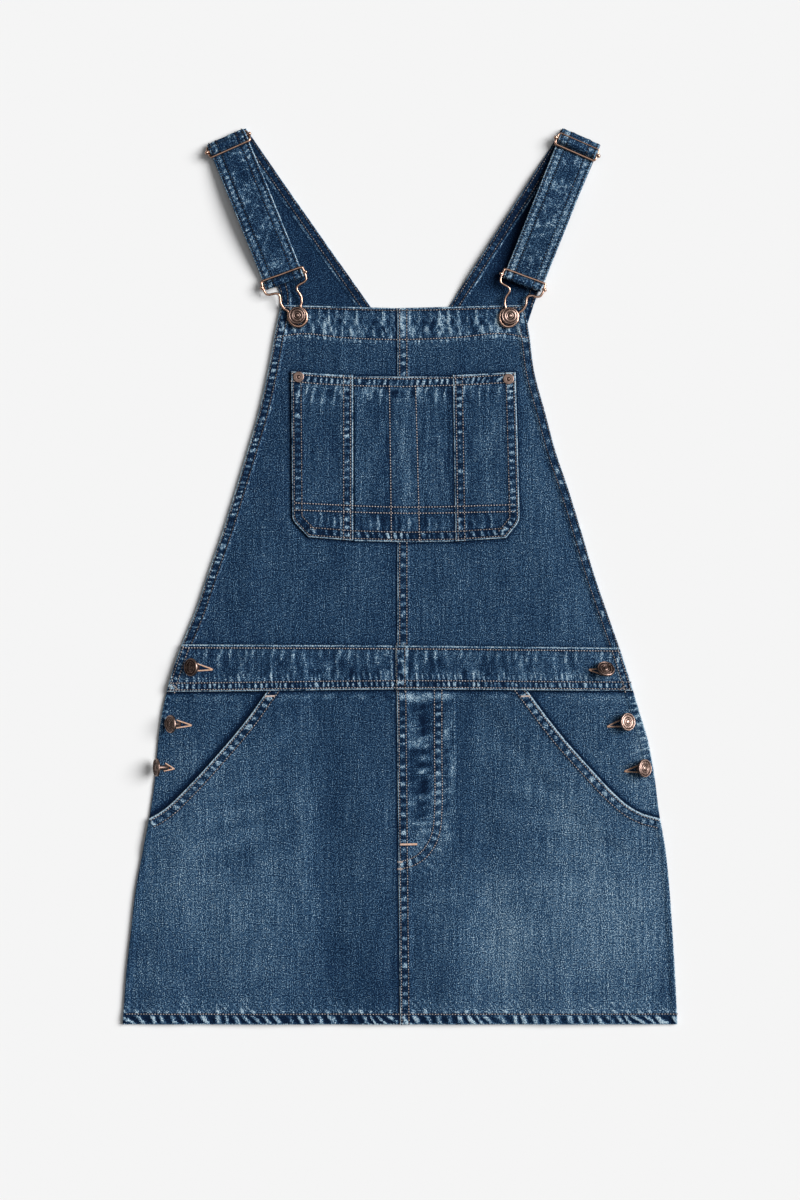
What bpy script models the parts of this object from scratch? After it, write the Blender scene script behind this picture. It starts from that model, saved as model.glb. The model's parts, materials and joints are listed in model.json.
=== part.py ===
"""Overall skirt: a denim dungaree dress laid flat on a surface, front up.

The garment lies on the plane z = 0 with its back down. +Y points to the shoulders, +X to the
right as seen from above, and the origin is under the middle of its outline. Every size below
is in millimetres; the meshes are made in metres.

The back panels lie flat. The front panels lie on them, close at the side edges and a little
puffed between them, with soft folds. What lies on a panel is made from the panel's own height.
"""

import math
from collections import namedtuple

import bmesh
import bpy
from mathutils import Euler

MM = 0.001

# ---------------------------------------------------------------- driving sizes, millimetres

CLOTH = 1.1            # one layer of denim
BAND = 1.8             # the waistband, folded double
STRAP = 1.8            # a shoulder strap, folded double
GAP = 0.3              # clearance between pieces at seams and between layers
LAYER_GAP = 0.5        # clearance under a piece that lies on a curved panel
SEAM_ALLOWANCE = 8.0   # how far the bib and the skirt run in under the waistband

FRONT_REST = CLOTH + GAP   # the front layer's underside at the side edges
FRONT_PUFF = 1.9           # how much higher it lies away from them
EDGE_ROUNDING = 48.0       # the width over which it rises

CENTRE_X = -1.0            # the centre front seam
WAIST_TOP_Y = -66.0
WAIST_BOTTOM_Y = -105.0
HEM_Y = -412.6
BACK_HEM_Y = -411.9

POCKET_FACING = 28.0   # how far a side panel runs in under the slanted pocket edge
LAP_FADE = 16.0        # the front skirt comes down again over this width

STRAP_WIDTH = 37.0
WIRE_RADIUS = 1.15     # slider and buckle wire
FRAME_HALF = 20.1      # slider and buckle: middle of a side wire from the centre line
KNOB_RADIUS = 1.8      # the balls on the ends of their bars
KNOB_REACH = 21.4
SLIDER_BAR = 5.8       # from the slider's lower wire to its centre bar
SLIDER_TOP = 11.5      # and to its upper wire
BUCKLE_BAR = 5.7       # from the buckle's top wire to its bar
BUCKLE_RING = 40.7     # and to the middle of its ring
SLIDER_Z = 8.9         # height of the slider's wires
BUCKLE_Z = 7.2         # height of the buckle's top wire
STRAP_ARCH = 5.2       # how far a strap bows up between them
RETURN_ARCH = 4.0      # and how far its return layer does, under it

BUTTON_RADIUS = 8.5
BUTTON_THICKNESS = 2.6
SHANK_RADIUS = 2.6
RIVET_RADIUS = 4.75

# ---------------------------------------------------------------- tables, millimetres

Edge = namedtuple("Edge", "y left right")
Fold = namedtuple("Fold", "x_start y_start x_end y_end half_width height")
Fitting = namedtuple("Fitting", "x y turn")
SideButton = namedtuple("SideButton", "side number head_x head_y tilt facing shank_x shank_y")

# The garment's side outline, from the bib's top corners to the hem.
OUTLINE = [
    Edge(250, -109.5, 113.6),
    Edge(226, -114.5, 118.5),
    Edge(189, -121.4, 123.4),
    Edge(151, -130.0, 133.5),
    Edge(114, -140.8, 143.5),
    Edge(80, -151.0, 155.0),
    Edge(46, -161.5, 165.5),
    Edge(4, -176.0, 178.0),
    Edge(-33, -188.5, 190.5),
    Edge(-66, -202.0, 202.0),
    Edge(-105, -214.5, 214.5),
    Edge(-125, -219.0, 220.5),
    Edge(-150, -222.6, 228.0),
    Edge(-180, -225.0, 233.7),
    Edge(-217, -230.0, 238.5),
    Edge(-254, -237.0, 244.7),
    Edge(-291, -243.8, 248.4),
    Edge(-328, -248.0, 251.0),
    Edge(-364, -252.0, 253.2),
    Edge(-412.6, -255.4, 255.4),
]

# The slanted edges of the hip pockets, from the waistband to the side seams.
POCKET_EDGE = [
    Edge(-97, -116.0, 110.5),
    Edge(-110, -125.3, 120.3),
    Edge(-130, -139.5, 135.2),
    Edge(-148, -154.0, 149.4),
    Edge(-165, -168.8, 164.2),
    Edge(-181, -183.0, 178.8),
    Edge(-200, -201.2, 196.9),
    Edge(-211, -212.6, 209.6),
    Edge(-218, -222.0, 221.8),
    Edge(-223, -231.0, 239.4),
]

# The front layer's main folds: ridges are positive, troughs negative.
FOLDS = [
    Fold(-68, -140, -60, -470, 17, -1.25),
    Fold(-26, -190, -18, -470, 17, 0.55),
    Fold(-118, -225, -130, -480, 26, 0.85),
    Fold(-176, -250, -188, -480, 14, -0.65),
    Fold(66, -112, 96, -470, 16, -1.05),
    Fold(48, -255, 46, -470, 15, 0.5),
    Fold(130, -240, 144, -480, 25, 0.85),
    Fold(114, -340, 106, -470, 10, -0.8),
    Fold(200, -270, 214, -480, 13, -0.6),
    Fold(-196, -262, -60, -214, 9, -0.5),
    Fold(62, -196, 186, -246, 9, -0.5),
    Fold(-66, 25, -78, -120, 16, -0.55),
    Fold(84, 25, 92, -120, 16, -0.55),
    Fold(-128, 60, -150, -60, 12, 0.5),
    Fold(128, 70, 150, -60, 12, 0.5),
]
FOLD_FADE = 0.3        # the share of a fold's length over which each end dies away
FOLD_LIMIT = 1.3       # the deepest trough and the highest ridge, where folds meet

SLIDER = {"left": Fitting(-155.5, 392.3, 24.0), "right": Fitting(160.4, 389.0, -23.6)}
BUCKLE = {"left": Fitting(-108.8, 277.4, 20.0), "right": Fitting(115.0, 275.6, -20.5)}
FOLD_REACH = {"left": 13.2, "right": 17.0}   # the shoulder fold beyond the slider's lower wire

BIB_BUTTON = {"left": (-94.6, 239.4), "right": (101.0, 239.1)}
RIVET = {"left": (-93.3, 183.0), "right": (99.7, 181.1)}

# Tilt is the angle of a button's face from level; facing is the way it leans, from +X.
SIDE_BUTTONS = [
    SideButton("left", 1, -191.2, -83.7, 41, 180, -186.0, -84.0),
    SideButton("left", 2, -209.9, -135.9, 52, 180, -203.5, -136.4),
    SideButton("left", 3, -222.5, -175.7, 68, 180, -214.5, -176.2),
    SideButton("right", 1, 188.6, -85.7, 42, 75, 187.6, -88.0),
    SideButton("right", 2, 208.6, -134.0, 33, 8, 204.2, -135.2),
    SideButton("right", 3, 224.1, -176.5, 40, 4, 219.0, -177.6),
]

# The buckle's wire, one half from the middle of its top wire to the foot of its ring:
# distance from the centre line, distance down the strap.
WirePoint = namedtuple("WirePoint", "across down")
BUCKLE_WIRE = [
    WirePoint(0.0, 0.0),
    WirePoint(17.6, 0.0),
    WirePoint(20.1, 2.2),
    WirePoint(20.1, 10.6),
    WirePoint(17.6, 13.6),
    WirePoint(10.8, 14.9),
    WirePoint(8.5, 18.0),
    WirePoint(9.8, 24.5),
    WirePoint(8.7, 30.0),
    WirePoint(6.2, 34.0),
    WirePoint(8.6, 38.4),
    WirePoint(9.1, 44.6),
    WirePoint(5.6, 50.2),
    WirePoint(0.0, 52.2),
]

MATERIALS = {
    "denim": ("#31496B", 0.92, 0.0),
    "denim_inside": ("#2B3F5C", 0.94, 0.0),
    "rose_wire": ("#B98468", 0.34, 1.0),
    "aged_copper": ("#8A6553", 0.42, 1.0),
}


# ---------------------------------------------------------------- small helpers

def clear_scene():
    for item in list(bpy.data.objects):
        bpy.data.objects.remove(item, do_unlink=True)


def linear(channel):
    """One sRGB channel, 0 to 1, as linear light."""
    if channel <= 0.04045:
        return channel / 12.92
    return ((channel + 0.055) / 1.055) ** 2.4


def make_material(name):
    colour, roughness, metallic = MATERIALS[name]
    material = bpy.data.materials.new(name)
    material.use_nodes = True
    shader = material.node_tree.nodes["Principled BSDF"]
    channels = [int(colour[start:start + 2], 16) / 255 for start in (1, 3, 5)]
    shader.inputs["Base Color"].default_value = [linear(c) for c in channels] + [1.0]
    shader.inputs["Roughness"].default_value = roughness
    shader.inputs["Metallic"].default_value = metallic
    return material


def lerp(start, end, share):
    return start + (end - start) * share


def smooth(share):
    """A soft step from 0 to 1."""
    share = min(max(share, 0.0), 1.0)
    return share * share * (3.0 - 2.0 * share)


def edge_at(table, y, side):
    """The x of an edge table's side at height y, straight between its rows."""
    if y >= table[0].y:
        return getattr(table[0], side)
    for upper, lower in zip(table, table[1:]):
        if y >= lower.y:
            share = (upper.y - y) / (upper.y - lower.y)
            return lerp(getattr(upper, side), getattr(lower, side), share)
    return getattr(table[-1], side)


def distance_to_segment(x, y, start, end):
    along_x = end[0] - start[0]
    along_y = end[1] - start[1]
    share = ((x - start[0]) * along_x + (y - start[1]) * along_y) / (along_x ** 2 + along_y ** 2)
    share = min(max(share, 0.0), 1.0)
    return math.hypot(x - start[0] - share * along_x, y - start[1] - share * along_y)


def arc(centre, radius, start, end, steps):
    """Points on a circle from one angle to another, in degrees."""
    points = []
    for step in range(steps + 1):
        angle = math.radians(lerp(start, end, step / steps))
        points.append((centre[0] + radius * math.cos(angle), centre[1] + radius * math.sin(angle)))
    return points


def rows_between(rows, steps):
    """A panel's rows with steps in each gap; a row is its left point and its right point."""
    result = []
    for upper, lower in zip(rows, rows[1:]):
        for step in range(steps):
            share = step / steps
            left = (lerp(upper[0][0], lower[0][0], share), lerp(upper[0][1], lower[0][1], share))
            right = (lerp(upper[1][0], lower[1][0], share), lerp(upper[1][1], lower[1][1], share))
            result.append((left, right))
    result.append(rows[-1])
    return result


def facing_row(side, outer, inner):
    """One row of a left or right piece, always from its left point to its right point."""
    return (outer, inner) if side == "left" else (inner, outer)


# ---------------------------------------------------------------- the lie of the cloth

def fold_height(x, y):
    total = 0.0
    for fold in FOLDS:
        along_x = fold.x_end - fold.x_start
        along_y = fold.y_end - fold.y_start
        length = math.hypot(along_x, along_y)
        share = ((x - fold.x_start) * along_x + (y - fold.y_start) * along_y) / length ** 2
        across = ((x - fold.x_start) * along_y - (y - fold.y_start) * along_x) / length
        ends = smooth(min(share, 1.0 - share) / FOLD_FADE)
        total += fold.height * ends * math.exp(-(across / fold.half_width) ** 2)
    return min(max(total, -FOLD_LIMIT), FOLD_LIMIT)


def front_height(x, y):
    """The height of the front layer's underside over the surface."""
    inside = min(x - edge_at(OUTLINE, y, "left"), edge_at(OUTLINE, y, "right") - x)
    rise = smooth(inside / EDGE_ROUNDING)
    return FRONT_REST + rise * (FRONT_PUFF + fold_height(x, y))


def pocket_lap(x, y):
    """How far a side panel lifts what lies on it, near the slanted pocket edges."""
    nearest = math.inf
    for upper, lower in zip(POCKET_EDGE, POCKET_EDGE[1:]):
        for side in ("left", "right"):
            start = (getattr(upper, side), upper.y)
            end = (getattr(lower, side), lower.y)
            nearest = min(nearest, distance_to_segment(x, y, start, end))
    return (CLOTH + LAYER_GAP) * (1.0 - smooth((nearest - POCKET_FACING) / LAP_FADE))


def front_skirt_height(x, y):
    return front_height(x, y) + pocket_lap(x, y)


def waistband_height(x, y):
    return front_skirt_height(x, y) + CLOTH + LAYER_GAP


def pocket_height(x, y):
    return front_height(x, y) + CLOTH + LAYER_GAP


def flat_on_surface(x, y):
    return 0.0


# ---------------------------------------------------------------- ways of making a piece

class Maker:
    """Puts finished pieces in one collection and their cutters in another."""

    def __init__(self, name):
        self.pieces = bpy.data.collections.new(name)
        self.cutters = bpy.data.collections.new(name + " cutters")
        for collection in (self.pieces, self.cutters):
            bpy.context.scene.collection.children.link(collection)
        self.materials = {key: make_material(key) for key in MATERIALS}

    def add(self, name, mesh, material):
        piece = bpy.data.objects.new(name, mesh)
        mesh.materials.clear()
        mesh.materials.append(self.materials[material])
        self.pieces.objects.link(piece)
        return piece

    def unite(self, piece, others):
        """Joins other closed bodies to a piece, which then hold no faces of their own."""
        for other in others:
            self.pieces.objects.unlink(other)
            self.cutters.objects.link(other)
            other.hide_render = True
            other.display_type = "WIRE"
            joint = piece.modifiers.new("join " + other.name, "BOOLEAN")
            joint.operation = "UNION"
            joint.solver = "EXACT"
            joint.object = other


def mesh_of_rows(name, rows):
    """A sheet of quads through rows of points in millimetres, which run downwards."""
    mesh = bpy.data.meshes.new(name)
    sheet = bmesh.new()
    grid = [[sheet.verts.new([value * MM for value in point]) for point in row] for row in rows]
    for upper, lower in zip(grid, grid[1:]):
        for column in range(len(upper) - 1):
            sheet.faces.new((upper[column], lower[column], lower[column + 1], upper[column + 1]))
    bmesh.ops.remove_doubles(sheet, verts=sheet.verts, dist=0.00001)
    sheet.to_mesh(mesh)
    sheet.free()
    return mesh


def laid_points(rows, columns, underside):
    """Rows of points on the underside of a laid panel."""
    points = []
    for left, right in rows:
        line = []
        for column in range(columns + 1):
            x = lerp(left[0], right[0], column / columns)
            y = lerp(left[1], right[1], column / columns)
            line.append((x, y, underside(x, y)))
        points.append(line)
    return points


def give_wall(piece, thickness, offset):
    """Turns a sheet into a wall; offset 1 keeps the sheet as the wall's underside."""
    wall = piece.modifiers.new("wall", "SOLIDIFY")
    wall.thickness = thickness * MM
    wall.offset = offset
    wall.use_even_offset = True


def cloth_panel(maker, name, rows, columns, underside, thickness=CLOTH, material="denim"):
    mesh = mesh_of_rows(name, laid_points(rows, columns, underside))
    piece = maker.add(name, mesh, material)
    give_wall(piece, thickness, 1.0)
    return piece


def turned_piece(maker, name, profile, steps, material):
    """A solid of revolution about its own Z; the profile is radius, height from top to bottom."""
    mesh = bpy.data.meshes.new(name)
    points = [(radius * MM, 0.0, height * MM) for radius, height in profile]
    mesh.from_pydata(points, [(i, i + 1) for i in range(len(points) - 1)], [])
    piece = maker.add(name, mesh, material)
    screw = piece.modifiers.new("turn", "SCREW")
    screw.steps = steps
    screw.render_steps = steps
    screw.use_merge_vertices = True
    screw.merge_threshold = 0.00002
    return piece


def wire_piece(maker, name, points, radius, closed, material):
    """A round wire along points in millimetres, as a closed mesh."""
    curve = bpy.data.curves.new(name + " path", "CURVE")
    curve.dimensions = "3D"
    curve.bevel_depth = radius * MM
    curve.bevel_resolution = 2
    curve.use_fill_caps = not closed
    spline = curve.splines.new("POLY")
    spline.points.add(len(points) - 1)
    for spot, point in zip(spline.points, points):
        spot.co = [value * MM for value in point] + [1.0]
    spline.use_cyclic_u = closed
    path = bpy.data.objects.new(name + " path", curve)
    bpy.context.scene.collection.objects.link(path)
    evaluated = path.evaluated_get(bpy.context.evaluated_depsgraph_get())
    mesh = bpy.data.meshes.new_from_object(evaluated)
    bpy.data.objects.remove(path, do_unlink=True)
    welded = bmesh.new()
    welded.from_mesh(mesh)
    bmesh.ops.remove_doubles(welded, verts=welded.verts, dist=0.00001)
    bmesh.ops.recalc_face_normals(welded, faces=welded.faces)
    welded.to_mesh(mesh)
    welded.free()
    mesh.name = name
    return maker.add(name, mesh, material)


# ---------------------------------------------------------------- the back

def back_rows(levels):
    return [((edge_at(OUTLINE, y, "left"), y), (edge_at(OUTLINE, y, "right"), y)) for y in levels]


def make_back(maker):
    skirt_levels = [WAIST_BOTTOM_Y - GAP / 2, -125, -150, -180, -217, -254, -291, -328, -364, BACK_HEM_Y]
    cloth_panel(maker, "back_skirt", back_rows(skirt_levels), 6, flat_on_surface, material="denim_inside")
    band_levels = [WAIST_TOP_Y - GAP / 2, WAIST_BOTTOM_Y + GAP / 2]
    cloth_panel(maker, "back_waistband", back_rows(band_levels), 6, flat_on_surface,
                material="denim_inside")


BibHalf = namedtuple("BibHalf", "outer_x outer_y inner_x inner_y")
NECK_X = 11.0     # the foot of the back's V neck
NECK_Y = 193.4
BACK_BIB_TOP = {
    "left": [
        BibHalf(-177.0, 394.4, -142.0, 412.5),
        BibHalf(-155.0, 348.8, -105.0, 359.0),
        BibHalf(-132.6, 302.6, -66.0, 303.3),
        BibHalf(-110.5, 257.0, -27.6, 248.8),
        BibHalf(-113.0, 232.0, -9.0, 222.0),
    ],
    "right": [
        BibHalf(184.6, 397.0, 149.6, 412.5),
        BibHalf(164.8, 350.0, 115.6, 358.0),
        BibHalf(145.2, 303.0, 80.8, 303.6),
        BibHalf(125.4, 256.0, 46.0, 249.3),
        BibHalf(118.0, 234.0, 29.0, 222.0),
    ],
}
BACK_BIB_LEVELS = [NECK_Y, 151, 114, 80, 46, 4, -33, WAIST_TOP_Y + GAP / 2]
BACK_BIB_INSET = 1.5


def back_bib_rows(side):
    """One half of the back bib, from the end of its shoulder extension to the waistband."""
    rows = [facing_row(side, (row.outer_x, row.outer_y), (row.inner_x, row.inner_y))
            for row in BACK_BIB_TOP[side]]
    inset = BACK_BIB_INSET if side == "left" else -BACK_BIB_INSET
    for y in BACK_BIB_LEVELS:
        outer = (edge_at(OUTLINE, y, side) + inset, y)
        rows.append(facing_row(side, outer, (NECK_X, y)))
    return rows


def make_back_bib(maker):
    """Both halves as one sheet, joined down the middle below the V neck."""
    sheet = bmesh.new()
    for side in ("left", "right"):
        half = mesh_of_rows("half", laid_points(back_bib_rows(side), 4, flat_on_surface))
        sheet.from_mesh(half)
        bpy.data.meshes.remove(half)
    bmesh.ops.remove_doubles(sheet, verts=sheet.verts, dist=0.00001)
    mesh = bpy.data.meshes.new("back_bib")
    sheet.to_mesh(mesh)
    sheet.free()
    give_wall(maker.add("back_bib", mesh, "denim_inside"), CLOTH, 1.0)


# ---------------------------------------------------------------- the front

SKIRT_LEVELS = [WAIST_BOTTOM_Y + SEAM_ALLOWANCE, -110, -130, -148, -165, -181, -200, -211, -218, -223,
                -240, -258, -276, -296, -318, -340, -364, -388, HEM_Y]
POCKET_END_Y = -223
SIDE_PANEL_LEVELS = [WAIST_BOTTOM_Y + SEAM_ALLOWANCE, -110, -125, -140, -156, -172, -188, -204, -218, -232]
SIDE_PANEL_RUN_IN = 20.0     # measured along X
CENTRE_GAP = {"left": -GAP / 2, "right": GAP / 2}
INWARD = {"left": 1.0, "right": -1.0}


def front_skirt_rows(side):
    rows = []
    for y in SKIRT_LEVELS:
        edge = POCKET_EDGE if y >= POCKET_END_Y else OUTLINE
        outer = (edge_at(edge, y, side), y)
        rows.append(facing_row(side, outer, (CENTRE_X + CENTRE_GAP[side], y)))
    return rows


def side_panel_rows(side):
    rows = []
    for y in SIDE_PANEL_LEVELS:
        outer = (edge_at(OUTLINE, y, side), y)
        inner = (edge_at(POCKET_EDGE, y, side) + SIDE_PANEL_RUN_IN * INWARD[side], y)
        rows.append(facing_row(side, outer, inner))
    return rows


def make_front_skirt(maker):
    for side in ("left", "right"):
        cloth_panel(maker, "front_skirt_" + side, front_skirt_rows(side), 12, front_skirt_height)
        cloth_panel(maker, "side_panel_" + side, side_panel_rows(side), 6, front_height)


BandEnd = namedtuple("BandEnd", "top bottom")
BAND_SIDE = {"left": BandEnd(-65.4, -106.6), "right": BandEnd(-68.4, -105.6)}
BAND_CENTRE = BandEnd(-66.6, -104.2)


def make_front_waistband(maker):
    for side in ("left", "right"):
        end = BAND_SIDE[side]
        centre_x = CENTRE_X + CENTRE_GAP[side]
        corners = []
        for end_y, centre_y in ((end.top, BAND_CENTRE.top), (end.bottom, BAND_CENTRE.bottom)):
            outer = (edge_at(OUTLINE, end_y, side), end_y)
            corners.append(facing_row(side, outer, (centre_x, centre_y)))
        cloth_panel(maker, "front_waistband_" + side, rows_between(corners, 4), 16, waistband_height, BAND)


BIB_LEVELS = [226, 207, 189, 170, 151, 132, 114, 97, 80, 63, 46, 25, 4, -15, -33, -50,
              WAIST_TOP_Y - SEAM_ALLOWANCE]
BIB_CORNER_Y = 249.6
BIB_CENTRE_Y = 246.6


def make_front_bib(maker):
    for side in ("left", "right"):
        inner_x = CENTRE_X + CENTRE_GAP[side]
        corner = (edge_at(OUTLINE, BIB_CORNER_Y, side), BIB_CORNER_Y)
        rows = [facing_row(side, corner, (inner_x, BIB_CENTRE_Y))]
        for y in BIB_LEVELS:
            rows.append(facing_row(side, (edge_at(OUTLINE, y, side), y), (inner_x, y)))
        cloth_panel(maker, "bib_" + side, rows, 9, front_height)


# The bib pocket's three panels, each from its top row to its bottom row.
PocketRow = namedtuple("PocketRow", "left_x left_y right_x right_y")
BIB_POCKET = {
    "left": [
        PocketRow(-100.2, 188.3, -43.1, 185.3),
        PocketRow(-99.1, 51.3, -43.1, 50.4),
        PocketRow(-84.3, 35.8, -43.1, 32.6),
    ],
    "middle": [
        PocketRow(-42.8, 183.2, 48.3, 183.0),
        PocketRow(-42.8, 50.4, 50.5, 50.1),
        PocketRow(-42.8, 32.5, 50.8, 31.8),
    ],
    "right": [
        PocketRow(48.6, 185.2, 106.3, 187.6),
        PocketRow(50.8, 50.1, 110.0, 50.5),
        PocketRow(51.1, 31.9, 97.2, 35.0),
    ],
}
POCKET_COLUMNS = {"left": 5, "middle": 8, "right": 5}


def make_bib_pocket(maker):
    for part, table in BIB_POCKET.items():
        corners = [((row.left_x, row.left_y), (row.right_x, row.right_y)) for row in table]
        rows = rows_between(corners[:2], 7)[:-1] + rows_between(corners[1:], 2)
        cloth_panel(maker, "bib_pocket_" + part, rows, POCKET_COLUMNS[part], pocket_height)


# ---------------------------------------------------------------- straps, sliders and buckles

def across_and_down(turn):
    """The directions across and down a strap that leans outwards by turn degrees."""
    angle = math.radians(turn)
    return (math.cos(angle), math.sin(angle)), (math.sin(angle), -math.cos(angle))


def strap_length(side):
    """From the slider's lower wire to the buckle's top wire."""
    return math.hypot(BUCKLE[side].x - SLIDER[side].x, BUCKLE[side].y - SLIDER[side].y)


def strap_path(side):
    """The strap's middle line: distance down the strap, height."""
    clear = WIRE_RADIUS + GAP + STRAP / 2
    layer = STRAP + GAP
    length = strap_length(side)
    back_z = CLOTH + GAP + STRAP / 2
    slider_under = SLIDER_Z - clear
    fold_radius = (slider_under - back_z) / 2
    fold_down = fold_radius + STRAP / 2 - FOLD_REACH[side]

    path = [(SLIDER_BAR, back_z)]
    path += arc((fold_down, back_z + fold_radius), fold_radius, 270, 90, 7)
    if fold_down < -SLIDER_TOP:
        path += arc((-SLIDER_TOP, SLIDER_Z), clear, 270, 320, 3)
    path += arc((-SLIDER_BAR, SLIDER_Z), clear, 140, 40, 5)
    path += arc((0.0, SLIDER_Z), clear, 220, 270, 3)

    buckle_under = BUCKLE_Z - clear
    for step in range(1, 9):
        share = step / 9
        height = lerp(slider_under, buckle_under, share) + STRAP_ARCH * math.sin(math.pi * share)
        path.append((length * share, height))
    path += arc((length, BUCKLE_Z), clear, 270, 320, 3)
    path += arc((length + BUCKLE_BAR, BUCKLE_Z), clear, 140, -90, 10)

    return_buckle = buckle_under - layer
    return_slider = slider_under - layer - 0.05
    path += [(length + 3.4, return_buckle + 1.3), (length + 1.4, return_buckle + 0.4)]
    for step in range(7, 0, -1):
        share = step / 8
        height = lerp(return_slider, return_buckle, share) + RETURN_ARCH * math.sin(math.pi * share)
        path.append((length * share, height))
    path += [(5.0, return_slider), (0.0, return_slider), (-2.5, return_slider + 0.7)]
    path += [(-4.4, slider_under - 0.3), (-SLIDER_BAR, slider_under)]
    path += [(-SLIDER_BAR - 1.5, slider_under)]
    return path


def strap_section(side, down):
    """The middle of the strap and its direction across, at a distance down the strap."""
    length = strap_length(side)
    share = min(max(down / length, 0.0), 1.0)
    across, _ = across_and_down(lerp(SLIDER[side].turn, BUCKLE[side].turn, share))
    middle_x = lerp(SLIDER[side].x, BUCKLE[side].x, share)
    middle_y = lerp(SLIDER[side].y, BUCKLE[side].y, share)
    beyond = down - share * length
    end = SLIDER[side] if beyond < 0 else BUCKLE[side]
    _, along = across_and_down(end.turn)
    return (middle_x + along[0] * beyond, middle_y + along[1] * beyond), across


def make_straps(maker):
    for side in ("left", "right"):
        rows = []
        for down, height in strap_path(side):
            middle, across = strap_section(side, down)
            row = []
            for share in (-0.5, 0.0, 0.5):
                offset = STRAP_WIDTH * share
                row.append((middle[0] + across[0] * offset, middle[1] + across[1] * offset, height))
            rows.append(row)
        strap = maker.add("strap_" + side, mesh_of_rows("strap_" + side, rows), "denim")
        give_wall(strap, STRAP, 0.0)


def place(piece, x, y, z, rotation=(0.0, 0.0, 0.0)):
    piece.location = (x * MM, y * MM, z * MM)
    piece.rotation_euler = Euler([math.radians(angle) for angle in rotation])


def knob_bar(maker, name, material):
    """A bar with a ball on each end, turned about its own Z."""
    neck_angle = math.degrees(math.acos(WIRE_RADIUS / KNOB_RADIUS))
    profile = arc((0.0, KNOB_REACH), KNOB_RADIUS, 90, -neck_angle, 4)
    profile += [(radius, -height) for radius, height in reversed(profile)]
    return turned_piece(maker, name, profile, 10, material)


def rounded_frame(half_width, top, radius):
    """The slider's frame: a rectangle with round corners, its lower wire on v = 0."""
    corners = [(half_width, 0.0, -90), (half_width, top, 0), (-half_width, top, 90), (-half_width, 0.0, 180)]
    points = []
    for x, y, start in corners:
        centre = (x - math.copysign(radius, x), radius if y == 0.0 else top - radius)
        points += [(spot[0], spot[1], 0.0) for spot in arc(centre, radius, start, start + 90, 3)]
    return points


def make_sliders(maker):
    for side, fitting in SLIDER.items():
        name = "slider_" + side
        frame = wire_piece(maker, name, rounded_frame(FRAME_HALF, SLIDER_TOP, 2.6), WIRE_RADIUS, True,
                           "rose_wire")
        place(frame, fitting.x, fitting.y, SLIDER_Z, (0, 0, fitting.turn))
        bar = knob_bar(maker, name + "_bar", "rose_wire")
        _, along = across_and_down(fitting.turn)
        place(bar, fitting.x - along[0] * SLIDER_BAR, fitting.y - along[1] * SLIDER_BAR, SLIDER_Z,
              (0, 90, fitting.turn))
        maker.unite(frame, [bar])


def through(points, steps):
    """A smooth closed line through points, with steps in each gap."""
    result = []
    count = len(points)
    for index in range(count):
        before, start, end, after = (points[(index + shift) % count] for shift in (-1, 0, 1, 2))
        for step in range(steps):
            t = step / steps
            spot = []
            for a, b, c, d in zip(before, start, end, after):
                spot.append(0.5 * (2 * b + (c - a) * t + (2 * a - 5 * b + 4 * c - d) * t ** 2
                                   + (3 * b - a - 3 * c + d) * t ** 3))
            result.append(tuple(spot))
    return result


def bib_top(x, y):
    return front_height(x, y) + CLOTH


def ring_height(side):
    """The buckle's ring lies on the bib, round the button's shank."""
    x, y = BIB_BUTTON[side]
    around = [bib_top(x + shift_x, y + shift_y) for shift_x in (-12, 0, 12) for shift_y in (-12, 0, 10)]
    return max(around) + GAP + WIRE_RADIUS


def buckle_wire(side):
    """The whole wire in the buckle's own frame: across, towards the shoulder, height."""
    bend = BUCKLE_BAR + 5.0
    lay = ring_height(side) - BUCKLE_Z

    def height(down):
        return lay * min(max((down - bend) / (BUCKLE_RING - 10.0 - bend), 0.0), 1.0)

    half = [(point.across, -point.down, height(point.down)) for point in BUCKLE_WIRE]
    mirrored = [(-across, along, z) for across, along, z in half[1:-1]]
    return through(half + mirrored[::-1], 2)


def make_buckles(maker):
    for side, fitting in BUCKLE.items():
        name = "buckle_" + side
        loop = wire_piece(maker, name, buckle_wire(side), WIRE_RADIUS, True, "rose_wire")
        place(loop, fitting.x, fitting.y, BUCKLE_Z, (0, 0, fitting.turn))
        bar = knob_bar(maker, name + "_bar", "rose_wire")
        _, along = across_and_down(fitting.turn)
        place(bar, fitting.x + along[0] * BUCKLE_BAR, fitting.y + along[1] * BUCKLE_BAR, BUCKLE_Z,
              (0, 90, fitting.turn))
        maker.unite(loop, [bar])


# ---------------------------------------------------------------- buttons and rivets

def button_head(maker, name):
    """A dished head; its own origin is the middle of its underside."""
    profile = [
        (0.0, BUTTON_THICKNESS - 0.5),
        (BUTTON_RADIUS * 0.62, BUTTON_THICKNESS - 0.5),
        (BUTTON_RADIUS * 0.78, BUTTON_THICKNESS),
        (BUTTON_RADIUS * 0.94, BUTTON_THICKNESS - 0.3),
        (BUTTON_RADIUS, BUTTON_THICKNESS * 0.45),
        (BUTTON_RADIUS * 0.94, 0.0),
        (0.0, 0.0),
    ]
    return turned_piece(maker, name, profile, 20, "aged_copper")


def shank(maker, name, foot, head, direction):
    """A leaning shank: it leaves the cloth upright and enters the head square."""
    sunk = 0.8
    end = tuple(head[i] + direction[i] * sunk for i in range(3))
    rise = end[2] - foot[2]
    first = (foot[0], foot[1], foot[2] + rise * 0.45)
    points = []
    for step in range(6):
        share = step / 5
        spot = []
        for a, b, c in zip(foot, first, end):
            spot.append(lerp(lerp(a, b, share), lerp(b, c, share), share))
        points.append(tuple(spot))
    return wire_piece(maker, name, points, SHANK_RADIUS, False, "aged_copper")


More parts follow.
